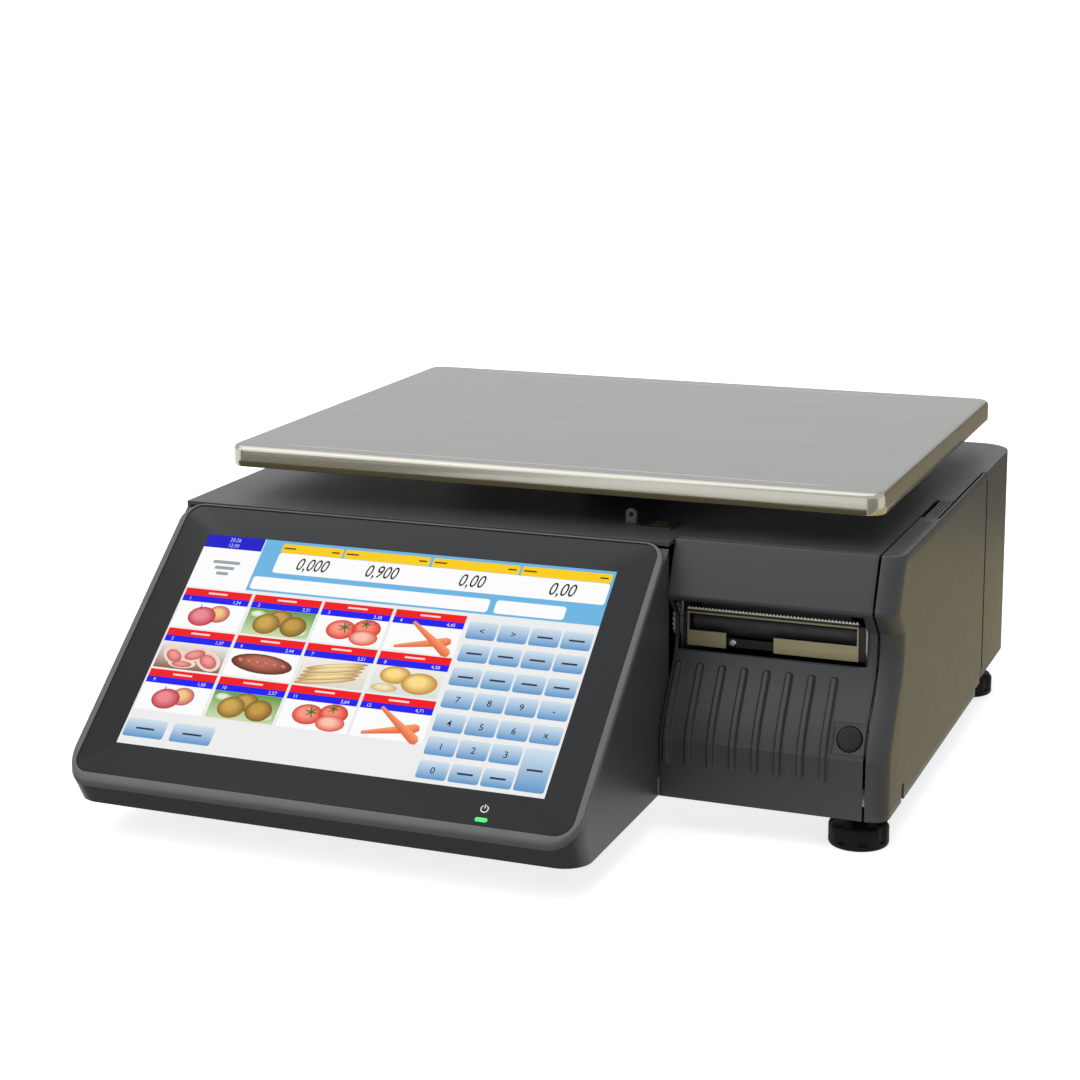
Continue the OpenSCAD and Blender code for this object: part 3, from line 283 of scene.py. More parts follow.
def skin(name, grids, surface, replaces=(), body="casing", smooth=35, outward=True, holes=None):
    """A piece from grids of points in millimetres, each (points, closed). Points that meet are merged, faces
    that shrink to nothing go, outward turns every face out, and holes gives the faces left out of a grid."""
    spots, faces, start = [], [], 0
    for number, (grid, closed) in enumerate(grids):
        rows, columns = grid.shape[:2]
        cells = grid_faces(rows, columns, closed)
        if holes and number in holes:
            cells = cells[~holes[number].reshape(-1)]
        spots.append(grid.reshape(-1, 3)*MM)
        faces.append(cells + start)
        start += rows*columns
    spots, faces = np.concatenate(spots), np.concatenate(faces)
    mesh = bpy.data.meshes.new(name)
    mesh.vertices.add(len(spots))
    mesh.vertices.foreach_set("co", spots.astype(np.float32).ravel())
    mesh.loops.add(faces.size)
    mesh.loops.foreach_set("vertex_index", faces.astype(np.int32).ravel())
    mesh.polygons.add(len(faces))
    mesh.polygons.foreach_set("loop_start", np.arange(0, faces.size, 4, dtype=np.int32))
    mesh.update(calc_edges=True)
    work = bmesh.new()
    work.from_mesh(mesh)
    bmesh.ops.remove_doubles(work, verts=work.verts, dist=2e-6)
    bmesh.ops.dissolve_degenerate(work, dist=1e-6, edges=work.edges)
    if outward:
        bmesh.ops.recalc_face_normals(work, faces=work.faces)
    work.to_mesh(mesh)
    work.free()
    return place_piece(name, mesh, surface, replaces, body, smooth)


def turned(profile, centre, count=48):
    """Points of a body turned about a vertical axis through centre: profile holds (radius, height) rows from
    the bottom pole to the top pole, and each row is carried round by count equal steps."""
    angle = np.linspace(0, 2*np.pi, count, endpoint=False)
    radius, height = np.array(profile, float).T[..., None]
    return points(centre[0] + radius*np.cos(angle), centre[1] + radius*np.sin(angle), height)


FOOT_R, PAD_H, STEM_R, STEM_TOP, LOBES, LOBE_DIP, STEPS = 17, 13, 5, 42.5, 8, 1.5, 96
foot_black = finish("foot_black", "black_rubber", "0c0c0d", shade=0.75, patch=60, roughness=(0.5, 0.6),
                    grain=0.3, Specular_IOR_Level=0.12)
for foot in ("front_left", "front_right", "rear_left", "rear_right"):
    low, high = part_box("foot_" + foot)
    centre = ((low.x + high.x)/2/MM, (low.y + high.y)/2/MM)
    profile = [(0, 0), (FOOT_R - 1.2, 0), (FOOT_R - 0.4, 0.25), (FOOT_R, 1), (FOOT_R, 3), (FOOT_R - 0.1, 3.3),
               (FOOT_R, 5), (FOOT_R, 10.5), (FOOT_R - 0.5, 11.8), (FOOT_R - 1.8, 12.7), (FOOT_R - 3, PAD_H),
               (STEM_R + 2.5, PAD_H), (STEM_R + 0.4, PAD_H + 0.6), (STEM_R, PAD_H + 1.2)]
    thread = [(STEM_R - 0.35*(i % 2), PAD_H + 1.6 + 0.5*i) for i in range(int((STEM_TOP - PAD_H - 2)/0.5))]
    profile += thread + [(STEM_R - 0.6, STEM_TOP), (0, STEM_TOP)]
    grid = turned(profile, centre, STEPS)
    angle = np.linspace(0, 2*np.pi, STEPS, endpoint=False)
    dip = LOBE_DIP*np.clip(np.cos(LOBES*(angle - np.pi/LOBES)), 0, 1)**0.8
    scalloped = np.array([1.0 if r > 12 and z > 3.2 else 0.0 for r, z in profile])[:, None]
    grid[..., 0] -= scalloped*dip*np.cos(angle)
    grid[..., 1] -= scalloped*dip*np.sin(angle)
    skin("levelling_foot_" + foot, [(grid, True)], foot_black, ("foot_" + foot,), "foot_" + foot, 50)

# ---- Display housing ----
# Moulded dark grey plastic wedge that carries the display; round at its two
# front corners, with a front that leans in below the lip.
X_LEFT, X_RIGHT, Y_FRONT, Z_LOW, Z_DECK = -221.0, 221.0, -240.75, 20.0, 164.0
X_POD, X_SCREEN, Z_LIP, TILT = 89.5, -65.75, 37.5, math.radians(40.3)
SLOPE_LEN = (Z_DECK - Z_LIP)/math.sin(TILT)
Y_SLOPE = Y_FRONT + (Z_DECK - Z_LIP)/math.tan(TILT)
LEAN, POD_R, BEZEL_T, WALL = 10.5, 16.0, 3.0, 2.5
dark_plastic = finish("casing_plastic", "dark_plastic", "38393b", shade=0.96, patch=7, roughness=(0.41, 0.43),
                      grain=0.2, grain_scale=1100, Specular_IOR_Level=0.34)

turns = np.linspace(0, np.pi/2, 13)
side_steps = np.linspace(0, 1, 26)[:-1]
front_steps = np.linspace(0, 1, 30)[1:-1]
# Plan outline from the rear left corner round the front to the rear right.
left_y = Y_SLOPE + (Y_FRONT + POD_R - Y_SLOPE)*side_steps
outline = np.concatenate([
    points(X_LEFT, left_y),
    points(X_LEFT + POD_R - POD_R*np.cos(turns), Y_FRONT + POD_R - POD_R*np.sin(turns)),
    points(X_LEFT + POD_R + (X_POD - X_LEFT - 2*POD_R)*front_steps, Y_FRONT),
    points(X_POD - POD_R + POD_R*np.sin(turns), Y_FRONT + POD_R - POD_R*np.cos(turns)),
    points(X_POD, left_y[::-1])])


def slope_height(y, n):
    """Height of the plane that lies n outside the display's slope, at y."""
    return Z_LIP + (y - Y_FRONT)*math.tan(TILT) + n/math.cos(TILT)


rise = np.concatenate([[0, 0.012, 0.03], np.linspace(0.06, 1, 16)])[:, None]
wall_z = Z_LOW + rise*(slope_height(outline[:, 1], -BEZEL_T) - Z_LOW)
lean = LEAN*np.clip((Z_LIP - wall_z)/(Z_LIP - Z_LOW), 0, 1)
wall_y = outline[:, 1] + lean*np.clip((Y_SLOPE - outline[:, 1])/(Y_SLOPE - Y_FRONT), 0, 1)
wall = points(outline[:, 0], wall_y, wall_z)
inward = np.array([X_SCREEN, (Y_FRONT + Y_SLOPE)/2])
rear_edge = points(np.linspace(X_POD, X_LEFT, 30)[1:-1], Y_SLOPE)
all_round = np.concatenate([outline, rear_edge])
ledge = []
for share in (0, 0.13):
    flat = all_round + (inward - all_round)*share
    ledge.append(points(flat[:, 0], flat[:, 1], slope_height(flat[:, 1], -BEZEL_T)))
hem = wall[:1] + (np.append(inward, Z_LOW) - wall[:1])*np.array([0.02, 0.02, 0])
skin("display_wedge", [(np.concatenate([hem, wall]), False), (np.stack(ledge), True)], dark_plastic,
     ("display_housing",), smooth=40)

# ---- Display frame ----
# Separate moulded ring round the touch glass, a shade lighter than the casing,
# with its outer edge rounded over.
GLASS_W, GLASS_H, GLASS_R, GLASS_MID = 301.5, 188.4, 10.0, 99.3


def on_slope(x, s, n):
    """Frame points of display points: x from the display's middle, s up the slope from the lip, n out of it."""
    return points(X_SCREEN + x, Y_FRONT + s*math.cos(TILT) - n*math.sin(TILT),
                  Z_LIP + s*math.sin(TILT) + n*math.cos(TILT))


def round_outline(half_w, half_h, radii, steps=10):
    """Closed outline of a rectangle with round corners about (0, 0), against the clock from the lower right;
    radii holds (along x, along y) for the lower right, upper right, upper left and lower left corners."""
    parts = []
    for quarter, (sx, sy) in enumerate(((1, -1), (1, 1), (-1, 1), (-1, -1))):
        rx, ry = radii[quarter]
        a = np.linspace(0, np.pi/2, steps) + np.pi/2*(quarter - 1)
        parts.append(points(sx*(half_w - rx) + rx*np.cos(a), sy*(half_h - ry) + ry*np.sin(a)))
    return np.concatenate(parts)


POD_CORNER, REAR_CORNER, GLASS_GAP = (POD_R, POD_R/math.cos(TILT)), (14, 14), 0.2
outer = round_outline((X_POD - X_LEFT)/2, SLOPE_LEN/2, [POD_CORNER, REAR_CORNER, REAR_CORNER, POD_CORNER])
inner = round_outline(GLASS_W/2 + GLASS_GAP, GLASS_H/2 + GLASS_GAP, [(GLASS_R, GLASS_R)]*4)
outer_s, inner_s = outer[:, 1] + SLOPE_LEN/2, inner[:, 1] + GLASS_MID
toward = inner - outer
toward /= np.linalg.norm(toward, axis=1)[:, None]
ring = []
for inset, n in ((0, -BEZEL_T), (0, -1.6), (0.18, -0.9), (0.6, -0.35), (1.2, -0.08), (2.0, 0)):
    upright = n*math.tan(TILT)
    ring.append(on_slope(outer[:, 0] + toward[:, 0]*inset, outer_s + toward[:, 1]*inset + upright, n))
for inset, n in ((-0.5, 0), (-0.15, -0.08), (0, -0.3), (0, -BEZEL_T)):
    ring.append(on_slope(inner[:, 0] + toward[:, 0]*inset, inner_s + toward[:, 1]*inset, n))
ring.append(ring[0])
frame_plastic = finish("frame_plastic", "bezel_plastic", "4b4c4e", shade=0.9, patch=12, roughness=(0.36, 0.46),
                       grain=0.16, grain_scale=1200, Specular_IOR_Level=0.5)
skin("display_frame", [(np.stack(ring), True)], frame_plastic, ("display_bezel",), smooth=45)

# ---- Touch glass ----
# One sheet of black-printed glass with ground edges, over the lit picture.
GLASS_T = 2.5
edge_rows = []
for inset, n in ((0.35, -BEZEL_T), (0, -BEZEL_T + 0.35), (0, -BEZEL_T + GLASS_T - 0.35), (0.1, -0.6),
                 (0.35, -BEZEL_T + GLASS_T)):
    line = round_outline(GLASS_W/2 - inset, GLASS_H/2 - inset, [(GLASS_R - inset,)*2]*4, 14)
    edge_rows.append(on_slope(line[:, 0], line[:, 1] + GLASS_MID, n))
lower_pole = np.broadcast_to(on_slope(0.0, GLASS_MID, -BEZEL_T), edge_rows[0].shape)
upper_pole = np.broadcast_to(on_slope(0.0, GLASS_MID, -BEZEL_T + GLASS_T), edge_rows[0].shape)
glass = finish("black_glass", "screen_glass", (0.013, 0.0135, 0.0155, 1), shade=0.85, patch=6,
               roughness=(0.2, 0.24), rough_scale=25, grain=0.01, grain_scale=300, Specular_IOR_Level=0.15)
skin("touch_screen", [(np.stack([lower_pole, *edge_rows, upper_pole]), True)], glass, ("touch_glass",),
     smooth=30)

# ---- Lit picture ----
# What the display shows under the glass: weight, price and total fields, twelve
# goods keys with plain drawings of food, and a number pad. Drawn as flat
# coloured shapes, a few hundredths of a millimetre apart.
LCD_W, LCD_H = 261.0, 147.0
GLASS_FACE, LAYER = -BEZEL_T + GLASS_T, 0.02
ink_spots, ink_faces, ink_colours = [], [], []


def ink(spots, faces, colours):
    """Adds flat shapes to the picture: spots are (right, down, layer) from its upper left corner."""
    start = sum(map(len, ink_spots))
    spots = np.asarray(spots, float)
    ink_spots.append(on_slope(spots[:, 0] - LCD_W/2, GLASS_MID + LCD_H/2 - spots[:, 1],
                              GLASS_FACE + 0.03 + LAYER*spots[:, 2]))
    ink_faces.extend([[v + start for v in face] for face in faces])
    ink_colours.append(np.broadcast_to(colours, (len(spots), 4)))


def panel(x0, y0, x1, y1, layer, top, low=None, r=0.0):
    """A rectangle with round corners, in level strips, its colour blended from top to bottom."""
    bend = r*(1 - np.cos(np.linspace(0, np.pi/2, 6))) if r else np.zeros(1)
    y = np.concatenate([y0 + bend, y1 - bend[::-1]])
    cut = r - np.sqrt(np.clip(r*r - (r - np.concatenate([bend, bend[::-1]]))**2, 0, None)) if r else np.zeros(2)
    rows = np.concatenate([points(x0 + cut, y, layer), points(x1 - cut, y, layer)])
    count = len(y)
    share = ((y - y0)/(y1 - y0))[:, None]
    colours = np.array(sRGB(top))*(1 - share) + np.array(sRGB(low or top))*share
    ink(rows, [(i, count + i, count + i + 1, i + 1)[::-1] for i in range(count - 1)], np.tile(colours, (2, 1)))


def blob(x, y, rx, ry, layer, middle, rim, turn=0.0, light=(-0.25, -0.3)):
    """An oval with a lighter spot: rings drawn in towards a point up and left of its middle."""
    a = np.linspace(0, 2*np.pi, 20, endpoint=False)
    rows, colours = [], []
    for share in (1, 0.75, 0.4):
        px = rx*(share*np.cos(a) + light[0]*(1 - share))
        py = ry*(share*np.sin(a) + light[1]*(1 - share))
        rows.append(points(x + px*math.cos(turn) - py*math.sin(turn),
                           y + px*math.sin(turn) + py*math.cos(turn), layer))
        blend = (1 - share)/0.6
        colours.append(np.tile(np.array(sRGB(rim))*(1 - blend) + np.array(sRGB(middle))*blend, (20, 1)))
    faces = grid_faces(3, 20, True).tolist() + [list(range(40, 60))[::-1]]
    ink(np.concatenate(rows), faces, np.concatenate(colours))


def digits(text, x, y, height, layer, colour, slant=0.0, squeeze=1.0, bold=0.015):
    """Figures centred on (x, y), height millimetres high: the built-in font, made a mesh and then placed."""
    curve = bpy.data.curves.new("digits", "FONT")
    curve.body, curve.size, curve.align_x, curve.shear = text, height/0.7, "CENTER", slant
    curve.offset = bold
    curve.resolution_u = 3
    holder = bpy.data.objects.new("digits", curve)
    flat = holder.to_mesh()
    co = np.empty(len(flat.vertices)*3, np.float32)
    flat.vertices.foreach_get("co", co)
    co = co.reshape(-1, 3).astype(float)
    shapes = [list(p.vertices) for p in flat.polygons]
    if len(co):
        ink(points(x + co[:, 0]*squeeze, y + height/2 - co[:, 1], layer), shapes, sRGB(colour))
    holder.to_mesh_clear()
    bpy.data.objects.remove(holder)
    bpy.data.curves.remove(curve)


WHITE, PAPER, BLACK = "ffffff", "f0f0f0", "101010"
SKY, YELLOW, RED, BLUE = "6db7e5", "fdd000", "f40008", "0a0af0"
panel(0, 0, LCD_W, LCD_H, 0, PAPER)
panel(39.2, 0, LCD_W, 37, 1, SKY)
panel(0, 0, 38.6, 9.2, 1, "0404c8")
panel(0, 9.2, 39.2, 38.2, 1, WHITE)
for x0, x1 in ((51.6, 91.4), (92.8, 147.6), (149.4, 203.6), (205, 259.4)):
    panel(x0, 2, x1, 8.4, 2, YELLOW, r=1.2)
    panel(x0 + 1.2, 4.6, x0 + 9, 5.6, 3, "403000")
    panel(x1 - 7, 4.6, x1 - 2, 5.6, 3, "403000")
panel(51.2, 8.6, 259.6, 23, 2, WHITE, r=1.8)
panel(41, 26.6, 192.6, 35.6, 2, WHITE, r=2)
panel(196.4, 26.6, 238.8, 35.6, 2, WHITE, r=2)
for text, x in (("0,000", 75), ("0,900", 120), ("0,00", 177), ("0,00", 232.4)):
    digits(text, x, 15.3, 8.6, 3, BLACK, 0.22, 0.76, 0.05)
for text, x, y in (("20.26", 19.3, 2.6), ("12:30", 19.3, 6.6)):
    digits(text, x, y, 2.6, 2, "c8c8ff", 0, 0.9)
# A plain store-shelf mark in the white panel: three grey bars.
for i, length in enumerate((18, 13, 8)):
    panel(19.6 - length/2, 18 + 4*i, 19.6 + length/2, 20.2 + 4*i, 2, "9aa3aa", r=0.8)

def ground(x, y, layer, top, low):
    """The blended ground of a goods picture about (x, y)."""
    panel(x - 21.6, y - 9, x + 21.6, y + 9, layer, top, low)


def apples(x, y, layer):
    """One apple before another, with a stalk."""
    blob(x + 5.5, y - 2, 7.5, 6, layer, "f6c98a", "c4485a")
    blob(x - 4.5, y + 0.6, 9, 6.8, layer + 1, "f08a92", "b8283e")
    panel(x - 7.6, y - 7.5, x - 7, y - 4.4, layer + 2, "403020")


def pears(x, y, layer):
    """Three brown pears among leaves."""
    ground(x, y, layer, "5f9a3c", "cfe0b0")
    blob(x - 15, y - 5, 6, 3, layer + 1, "e8f0d8", "6fa84a")
    blob(x + 15, y + 5, 6.5, 3, layer + 1, "f0f4e4", "9cc47c")
    blob(x, y - 3.2, 8, 6, layer + 2, "c8a050", "7a5a1c")
    blob(x - 7.6, y + 1, 8.6, 7, layer + 3, "d0a850", "86641c")
    blob(x + 10, y + 1.2, 8.4, 7, layer + 3, "c89c44", "7a5a18")


def tomatoes(x, y, layer):
    """Two tomatoes with stalks, and half of one before them."""
    blob(x - 5.5, y - 0.6, 9.4, 6.6, layer, "ff9a84", "d8301e")
    blob(x + 10, y - 2.6, 9, 6.4, layer, "ff8a70", "cf2a18")
    blob(x + 10, y + 3.6, 9, 5.2, layer + 1, "ffc4b0", "e04430")
    for turn in (0.2, 1.3, 2.4):
        blob(x - 3.6, y - 2.4, 4.2, 0.5, layer + 2, "3c7a34", "245c22", turn)
        blob(x + 9, y - 6, 3.4, 0.5, layer + 2, "3c7a34", "245c22", turn)


def carrots(x, y, layer):
    """Two crossed tapered roots: the half width grows evenly to the blunt end and rounds off there."""
    for cx, cy, turn, length in ((x + 1, y + 3, -0.2, 17), (x + 5, y - 1, 0.62, 17)):
        t = np.linspace(-1, 1, 14)
        width = 1.0 + 2.2*(t + 1)/2*np.sqrt(np.clip(1 - np.clip(t - 0.8, 0, 1)**2*24, 0, 1))
        px = np.concatenate([t*length, t*length])
        py = np.concatenate([-width, width])
        rows = points(cx + px*math.cos(turn) - py*math.sin(turn), cy + px*math.sin(turn) + py*math.cos(turn),
                      layer + (turn > 0))
        colours = np.array([sRGB("ffa070")]*14 + [sRGB("e0602a")]*14)
        ink(rows, [(i, i + 1, 15 + i, 14 + i) for i in range(13)], colours)


def cutlets(x, y, layer):
    """Four slices of meat, each a pale rim round a red middle."""
    ground(x, y, layer, "f0ece8", "8a5a3c")
    for dx, dy, rx, ry, turn in ((-11, 0, 8, 5.4, 0.5), (2, -2, 9, 5, -0.3), (12, 1.6, 9, 6, 0.5),
                                 (-4, 5, 9, 3.2, 0)):
        blob(x + dx, y + dy, rx, ry, layer + 1, "f8b8ae", "f4e2da", turn)
        blob(x + dx, y + dy + 0.5, rx*0.72, ry*0.66, layer + 2, "f29a94", "c45a58", turn)


def roast(x, y, layer):
    """One long joint of meat with six lighter spots."""
    blob(x, y - 0.6, 20, 6.4, layer, "c06a56", "5c2018", 0.06, (0, -0.4))
    for i in range(6):
        blob(x - 14 + 5.6*i, y - 2 + 0.3*i, 2.4, 1.2, layer + 1, "d28a74", "96402e", 0.4)


def bread_sticks(x, y, layer):
    """Five long loaves, side by side."""
    ground(x, y, layer, "f4f0e6", "e0dcd0")
    for i in range(5):
        blob(x + 1 - i, y - 4.6 + 2.5*i, 19, 1.9, layer + 1 + i % 2, "f6e0a8", "b8904c", -0.17,
             (0, -0.5))


def round_buns(x, y, layer):
    """Three round buns."""
    ground(x, y, layer, "f0efe6", "dfe2e4")
    blob(x - 8, y - 3.4, 9.4, 5.8, layer + 1, "ffdf88", "c48a2c")
    blob(x + 8, y + 0.6, 11, 7, layer + 2, "ffe08c", "c08a30")
    blob(x - 12, y + 5.4, 8, 2.8, layer + 2, "f8e8c0", "d6b070")


TILE_X, TILE_Y = (1.2, 47, 92.6, 138.4), (39.3, 67.9, 96.5)
drawings = ((apples, pears, tomatoes, carrots), (cutlets, roast, bread_sticks, round_buns),
            (apples, pears, tomatoes, carrots))
for row, y in enumerate(TILE_Y):
    for column, x in enumerate(TILE_X):
        panel(x, y, x + 43.8, y + 27.3, 1, WHITE)
        panel(x, y, x + 43.8, y + 4.9, 2, RED)
        panel(x, y + 4.9, x + 43.8, y + 9.2, 2, BLUE)
        panel(x + 15.5, y + 1.9, x + 28, y + 3.1, 3, "ffd8d8")
        digits(str(1 + column + 4*row), x + 5, y + 7, 2.2, 3, "e0e0ff")
        digits("%d,%02d" % (1 + column, 24 + 13*row + 7*column), x + 36, y + 7, 2.2, 3, "e0e0ff")
        drawings[row][column](x + 21.9, y + 18.3, 3)
KEY_TOP, KEY_LOW = "d2e4f0", "5896cc"
for x0, x1 in ((1.2, 27.2), (31.4, 57.6)):
    panel(x0, 130, x1, 142, 1, KEY_TOP, KEY_LOW, 1.6)
    panel(x0 + 7, 135.6, x1 - 7, 136.8, 2, "203040")
KEY_X = ((185, 202.8), (204, 221.8), (223, 240.8), (242, 259.6))
KEY_Y = ((42.4, 54), (57.6, 69.2), (73.2, 85), (88, 99.6), (103.2, 114.8), (118, 129.6), (133.2, 144.4))
marks = ("<>", "", "", "789-", "456x", "123", "0")
for row, (y0, y1) in enumerate(KEY_Y):
    for column, (x0, x1) in enumerate(KEY_X):
        if row == 6 and column == 3:
            continue
        low_y = KEY_Y[6][1] if (row, column) == (5, 3) else y1
        panel(x0, y0, x1, low_y, 1, KEY_TOP, KEY_LOW, 1.6)
        middle = ((x0 + x1)/2, (y0 + low_y)/2)
        if column < len(marks[row]):
            digits(marks[row][column], middle[0], middle[1], 4.0, 2, "0c1824", bold=0.04)
        else:
            panel(middle[0] - 4.6, middle[1] - 0.6, middle[0] + 4.6, middle[1] + 0.6, 2, "203040")
picture_mesh = bpy.data.meshes.new("screen_picture")
picture_mesh.from_pydata((np.concatenate(ink_spots)*MM).tolist(), [], ink_faces)
tint = picture_mesh.attributes.new("tint", "FLOAT_COLOR", "POINT")
tint.data.foreach_set("color", np.concatenate(ink_colours).astype(np.float32).ravel())
lit = bpy.data.materials.new("lit_picture")
lit.use_nodes = True
tree = lit.node_tree
shader = tree.nodes["Principled BSDF"]
cells = node(tree, "TexNoise", Vector=node(tree, "TexCoord").outputs["Object"], Scale=2600.0, Detail=1.0)
even = node(tree, "MapRange", Value=cells.outputs["Fac"], From_Min=0.3, From_Max=0.7, To_Min=0.95, To_Max=1.02)
drawn = node(tree, "Attribute", attribute_name="tint")
dim = node(tree, "Mix", data_type="RGBA", blend_type="MULTIPLY", Factor=1, A=drawn.outputs["Color"],
           B=even.outputs[0])
tree.links.new(dim.outputs["Result"], shader.inputs["Emission Color"])
for key, value in (("Emission Strength", 0.97), ("Specular IOR Level", 0.06), ("Roughness", 0.14),
                   ("Base Color", (0.005, 0.005, 0.005, 1))):
    shader.inputs[key].default_value = value
place_piece("screen_picture", picture_mesh, lit)

# ---- Status light and power mark ----
# Clear green lens set in the glass below the picture, with a small printed
# power sign over it.
LED_X, LED_S = 99.75, 8.75
lens_rows = []
for inset, n in ((0, -1.6), (0, GLASS_FACE + 0.02), (0.25, GLASS_FACE + 0.12), (0.9, GLASS_FACE + 0.18)):
    line = round_outline(3.6 - inset, 1.3 - inset, [(1.2 - inset,)*2]*4, 6)
    lens_rows.append(on_slope(LED_X + line[:, 0], LED_S + line[:, 1], n))
lens_rows.append(np.broadcast_to(on_slope(float(LED_X), LED_S, GLASS_FACE + 0.2), lens_rows[0].shape))
lens_rows.insert(0, np.broadcast_to(on_slope(float(LED_X), LED_S, -1.6), lens_rows[0].shape))
led = finish("green_light", "led_green", "0fae4e", shade=0.8, patch=300, roughness=(0.2, 0.3), grain=0.02)
led_shader = led.node_tree.nodes["Principled BSDF"]
led_shader.inputs["Emission Color"].default_value = sRGB("22d468")
led_shader.inputs["Emission Strength"].default_value = 0.75
skin("status_light", [(np.stack(lens_rows), True)], led, ("status_led_lens",), smooth=40)
sweep_angle = np.linspace(math.radians(120), math.radians(420), 40)
mark = np.stack([on_slope(LED_X + r*np.cos(sweep_angle), LED_S + 6.6 + r*np.sin(sweep_angle), n)
                 for r, n in ((1.75, GLASS_FACE + 0.01), (1.75, GLASS_FACE + 0.06), (2.3, GLASS_FACE + 0.06),
                              (2.3, GLASS_FACE + 0.01))])
bar_x, bar_s = np.meshgrid([-0.27, 0.27], [6.9, 9.3])
bar_mark = on_slope(LED_X + bar_x, LED_S + bar_s, GLASS_FACE + 0.06)
white_ink = finish("white_ink", "screen_glass", "e8e8ea", shade=0.92, patch=200, roughness=(0.4, 0.5),
                   grain=0.02)
skin("power_mark", [(mark, False), (bar_mark, False)], white_ink)

# ---- Display module and bracket ----
# Sealed panel behind the glass and the pressed bracket that holds it to the
# housing. The green finish for the boards is made here.
board_green = finish("board_green", "board_green", "1d5a34", shade=0.75, patch=90, roughness=(0.35, 0.5),
                     grain=0.1)
recast("lcd_module", zinc, 0.3)
recast("lcd_bracket", zinc, 0.2)

# ---- Main cover and rear panel ----
# One-piece moulded cover over the rear and sides, with a deck under the pan, and
# a zinc panel set in its rear wall for the two sockets.
recast("main_cover", dark_plastic, 1.1, segments=3, smooth=30)
recast("rear_panel", zinc, 0.2)
socket_black = finish("socket_black", "black_plastic", "1c1c1e", shade=0.75, patch=50, roughness=(0.35, 0.5),
                      grain=0.15)
port_metal = finish("port_metal", "port_metal", "c8cacc", shade=0.85, roughness=(0.25, 0.4), metallic=1)
recast("mains_inlet", socket_black, 0.4)
recast("network_port", port_metal, 0.2)

# ---- Bubble level and seal lug ----
# Black round housing with its green vial, let into the deck before the pan, and
# the small drilled lug for the seal wire. The vial's green is painted darker, as
# painted shade for the pan's shadow over it.
recast("level_housing", socket_black, 0.3)
vial_paint_with_shade = finish("vial_green_painted_darker", "level_liquid", "5c6634", shade=0.85, patch=120, roughness=(0.06, 0.12), grain=0.01,
              Transmission_Weight=0.4)
recast("level_vial", vial_paint_with_shade, 0.4)
recast("seal_lug", frame_plastic, 0.4)

# ---- Printer front cover ----
# Moulded cover in front of the label printer: a brow under the deck, a window
# for the labels, a curved apron with eight ribs, and a square recess for the
# release button.
BAY_X0, BAY_X1, X_SEAM = 89.8, 207.5, 208.2
Y_BROW = Y_SLOPE + 10.3
Y_RECESS = Y_BROW + 0.5
WINDOW = (92.0, 202.0, 100.0, 131.0)
BUTTON_X, BUTTON_Z, BUTTON_HALF = 198.5, 65.0, 9.0


def apron(z):
    """Front line of the apron at height z: the recess line less 27.5 mm times the squared sine of an angle
    that makes a quarter turn from z 110 down to z 50."""
    return Y_RECESS - 27.5*np.sin(np.radians(90*(110 - np.asarray(z, float))/60))**2


def rounded_line(points, radii, steps=7):
    """A line of (y, z) points with its corners turned into arcs of the radii given, zero for a sharp corner."""
    made = [np.array(points[0])]
    for before, corner, after, r in zip(points, points[1:], points[2:], radii):
        before, corner, after = map(np.array, (before, corner, after))
        a, b = before - corner, after - corner
        a, b = a/np.linalg.norm(a), b/np.linalg.norm(b)
        half = math.acos(np.clip(a @ b, -1, 1))/2
        if r == 0 or half > 1.56:
            made.append(corner)
            continue
        middle = corner + (a + b)/np.linalg.norm(a + b)*r/math.sin(half)
        start, end = corner + a*r/math.tan(half), corner + b*r/math.tan(half)
        t = np.linspace(0, 1, steps)[:, None]
        open_angle = math.pi - 2*half
        u, v = start - middle, end - middle
        made.extend(middle + (np.sin((1 - t)*open_angle)*u + np.sin(t*open_angle)*v)/math.sin(open_angle))
    made.append(np.array(points[-1]))
    return np.array(made)


sweep_z = np.linspace(110, 60, 22)
corners = ([(Y_BROW + 5, Z_DECK), (Y_BROW, Z_DECK), (Y_BROW - 14, 134), (Y_RECESS, 119)]
           + [(float(apron(z)), float(z)) for z in sweep_z] + [(-108.6, 54.05), (-109.29, Z_LOW)])
profile = rounded_line(corners, [1.4, 2.2, 2.0] + [0]*22 + [1.2])
button_up = np.array([0.443138, 0.896454])
button_out = np.array([-0.896454, 0.443138])
button_at = np.array([float(apron(BUTTON_Z)), BUTTON_Z])
along = (profile - button_at) @ button_up
proud = (profile - button_at) @ button_out
order = np.argsort(along)
recess_z = np.interp([-BUTTON_HALF, BUTTON_HALF], along[order], profile[order, 1])
deck_rows = profile[profile[:, 1] >= Z_DECK - 1e-6]
lower = profile[profile[:, 1] < Z_DECK - 1e-6]
more_z = np.concatenate([WINDOW[2:], recess_z, np.arange(98.0, 88.0, -0.4), np.arange(46.0, 36.0, -0.4),
                         np.arange(88, 46, -1.5), np.arange(36, 20, -3.0)])
row_z = np.unique(np.round(np.concatenate([lower[:, 1], more_z]), 3))[::-1]
row_y = np.interp(row_z, lower[::-1, 1], lower[::-1, 0])
line = np.concatenate([deck_rows, np.stack([row_y, row_z], -1)])
RIB_X = 94.0 + 13.0*np.arange(8)
rib_half = np.array([0.8, 1.05, 1.3, 1.5, 1.7, 1.9, 2.1, 2.3, 2.5, 2.6, 2.7, 2.85])
rib_steps = np.concatenate([-rib_half, [0], rib_half])
columns = np.unique(np.round(np.concatenate([
    [BAY_X0, BAY_X0 + 0.15, BAY_X0 + 0.4, BAY_X1 - 0.4, BAY_X1 - 0.15, BAY_X1, WINDOW[0], WINDOW[1],
     BUTTON_X - BUTTON_HALF], (RIB_X[:, None] + rib_steps).ravel(), np.arange(100, 206, 6.5)]), 3))
tangent = np.gradient(line, axis=0)
normal = np.stack([tangent[:, 1], -tangent[:, 0]], -1)
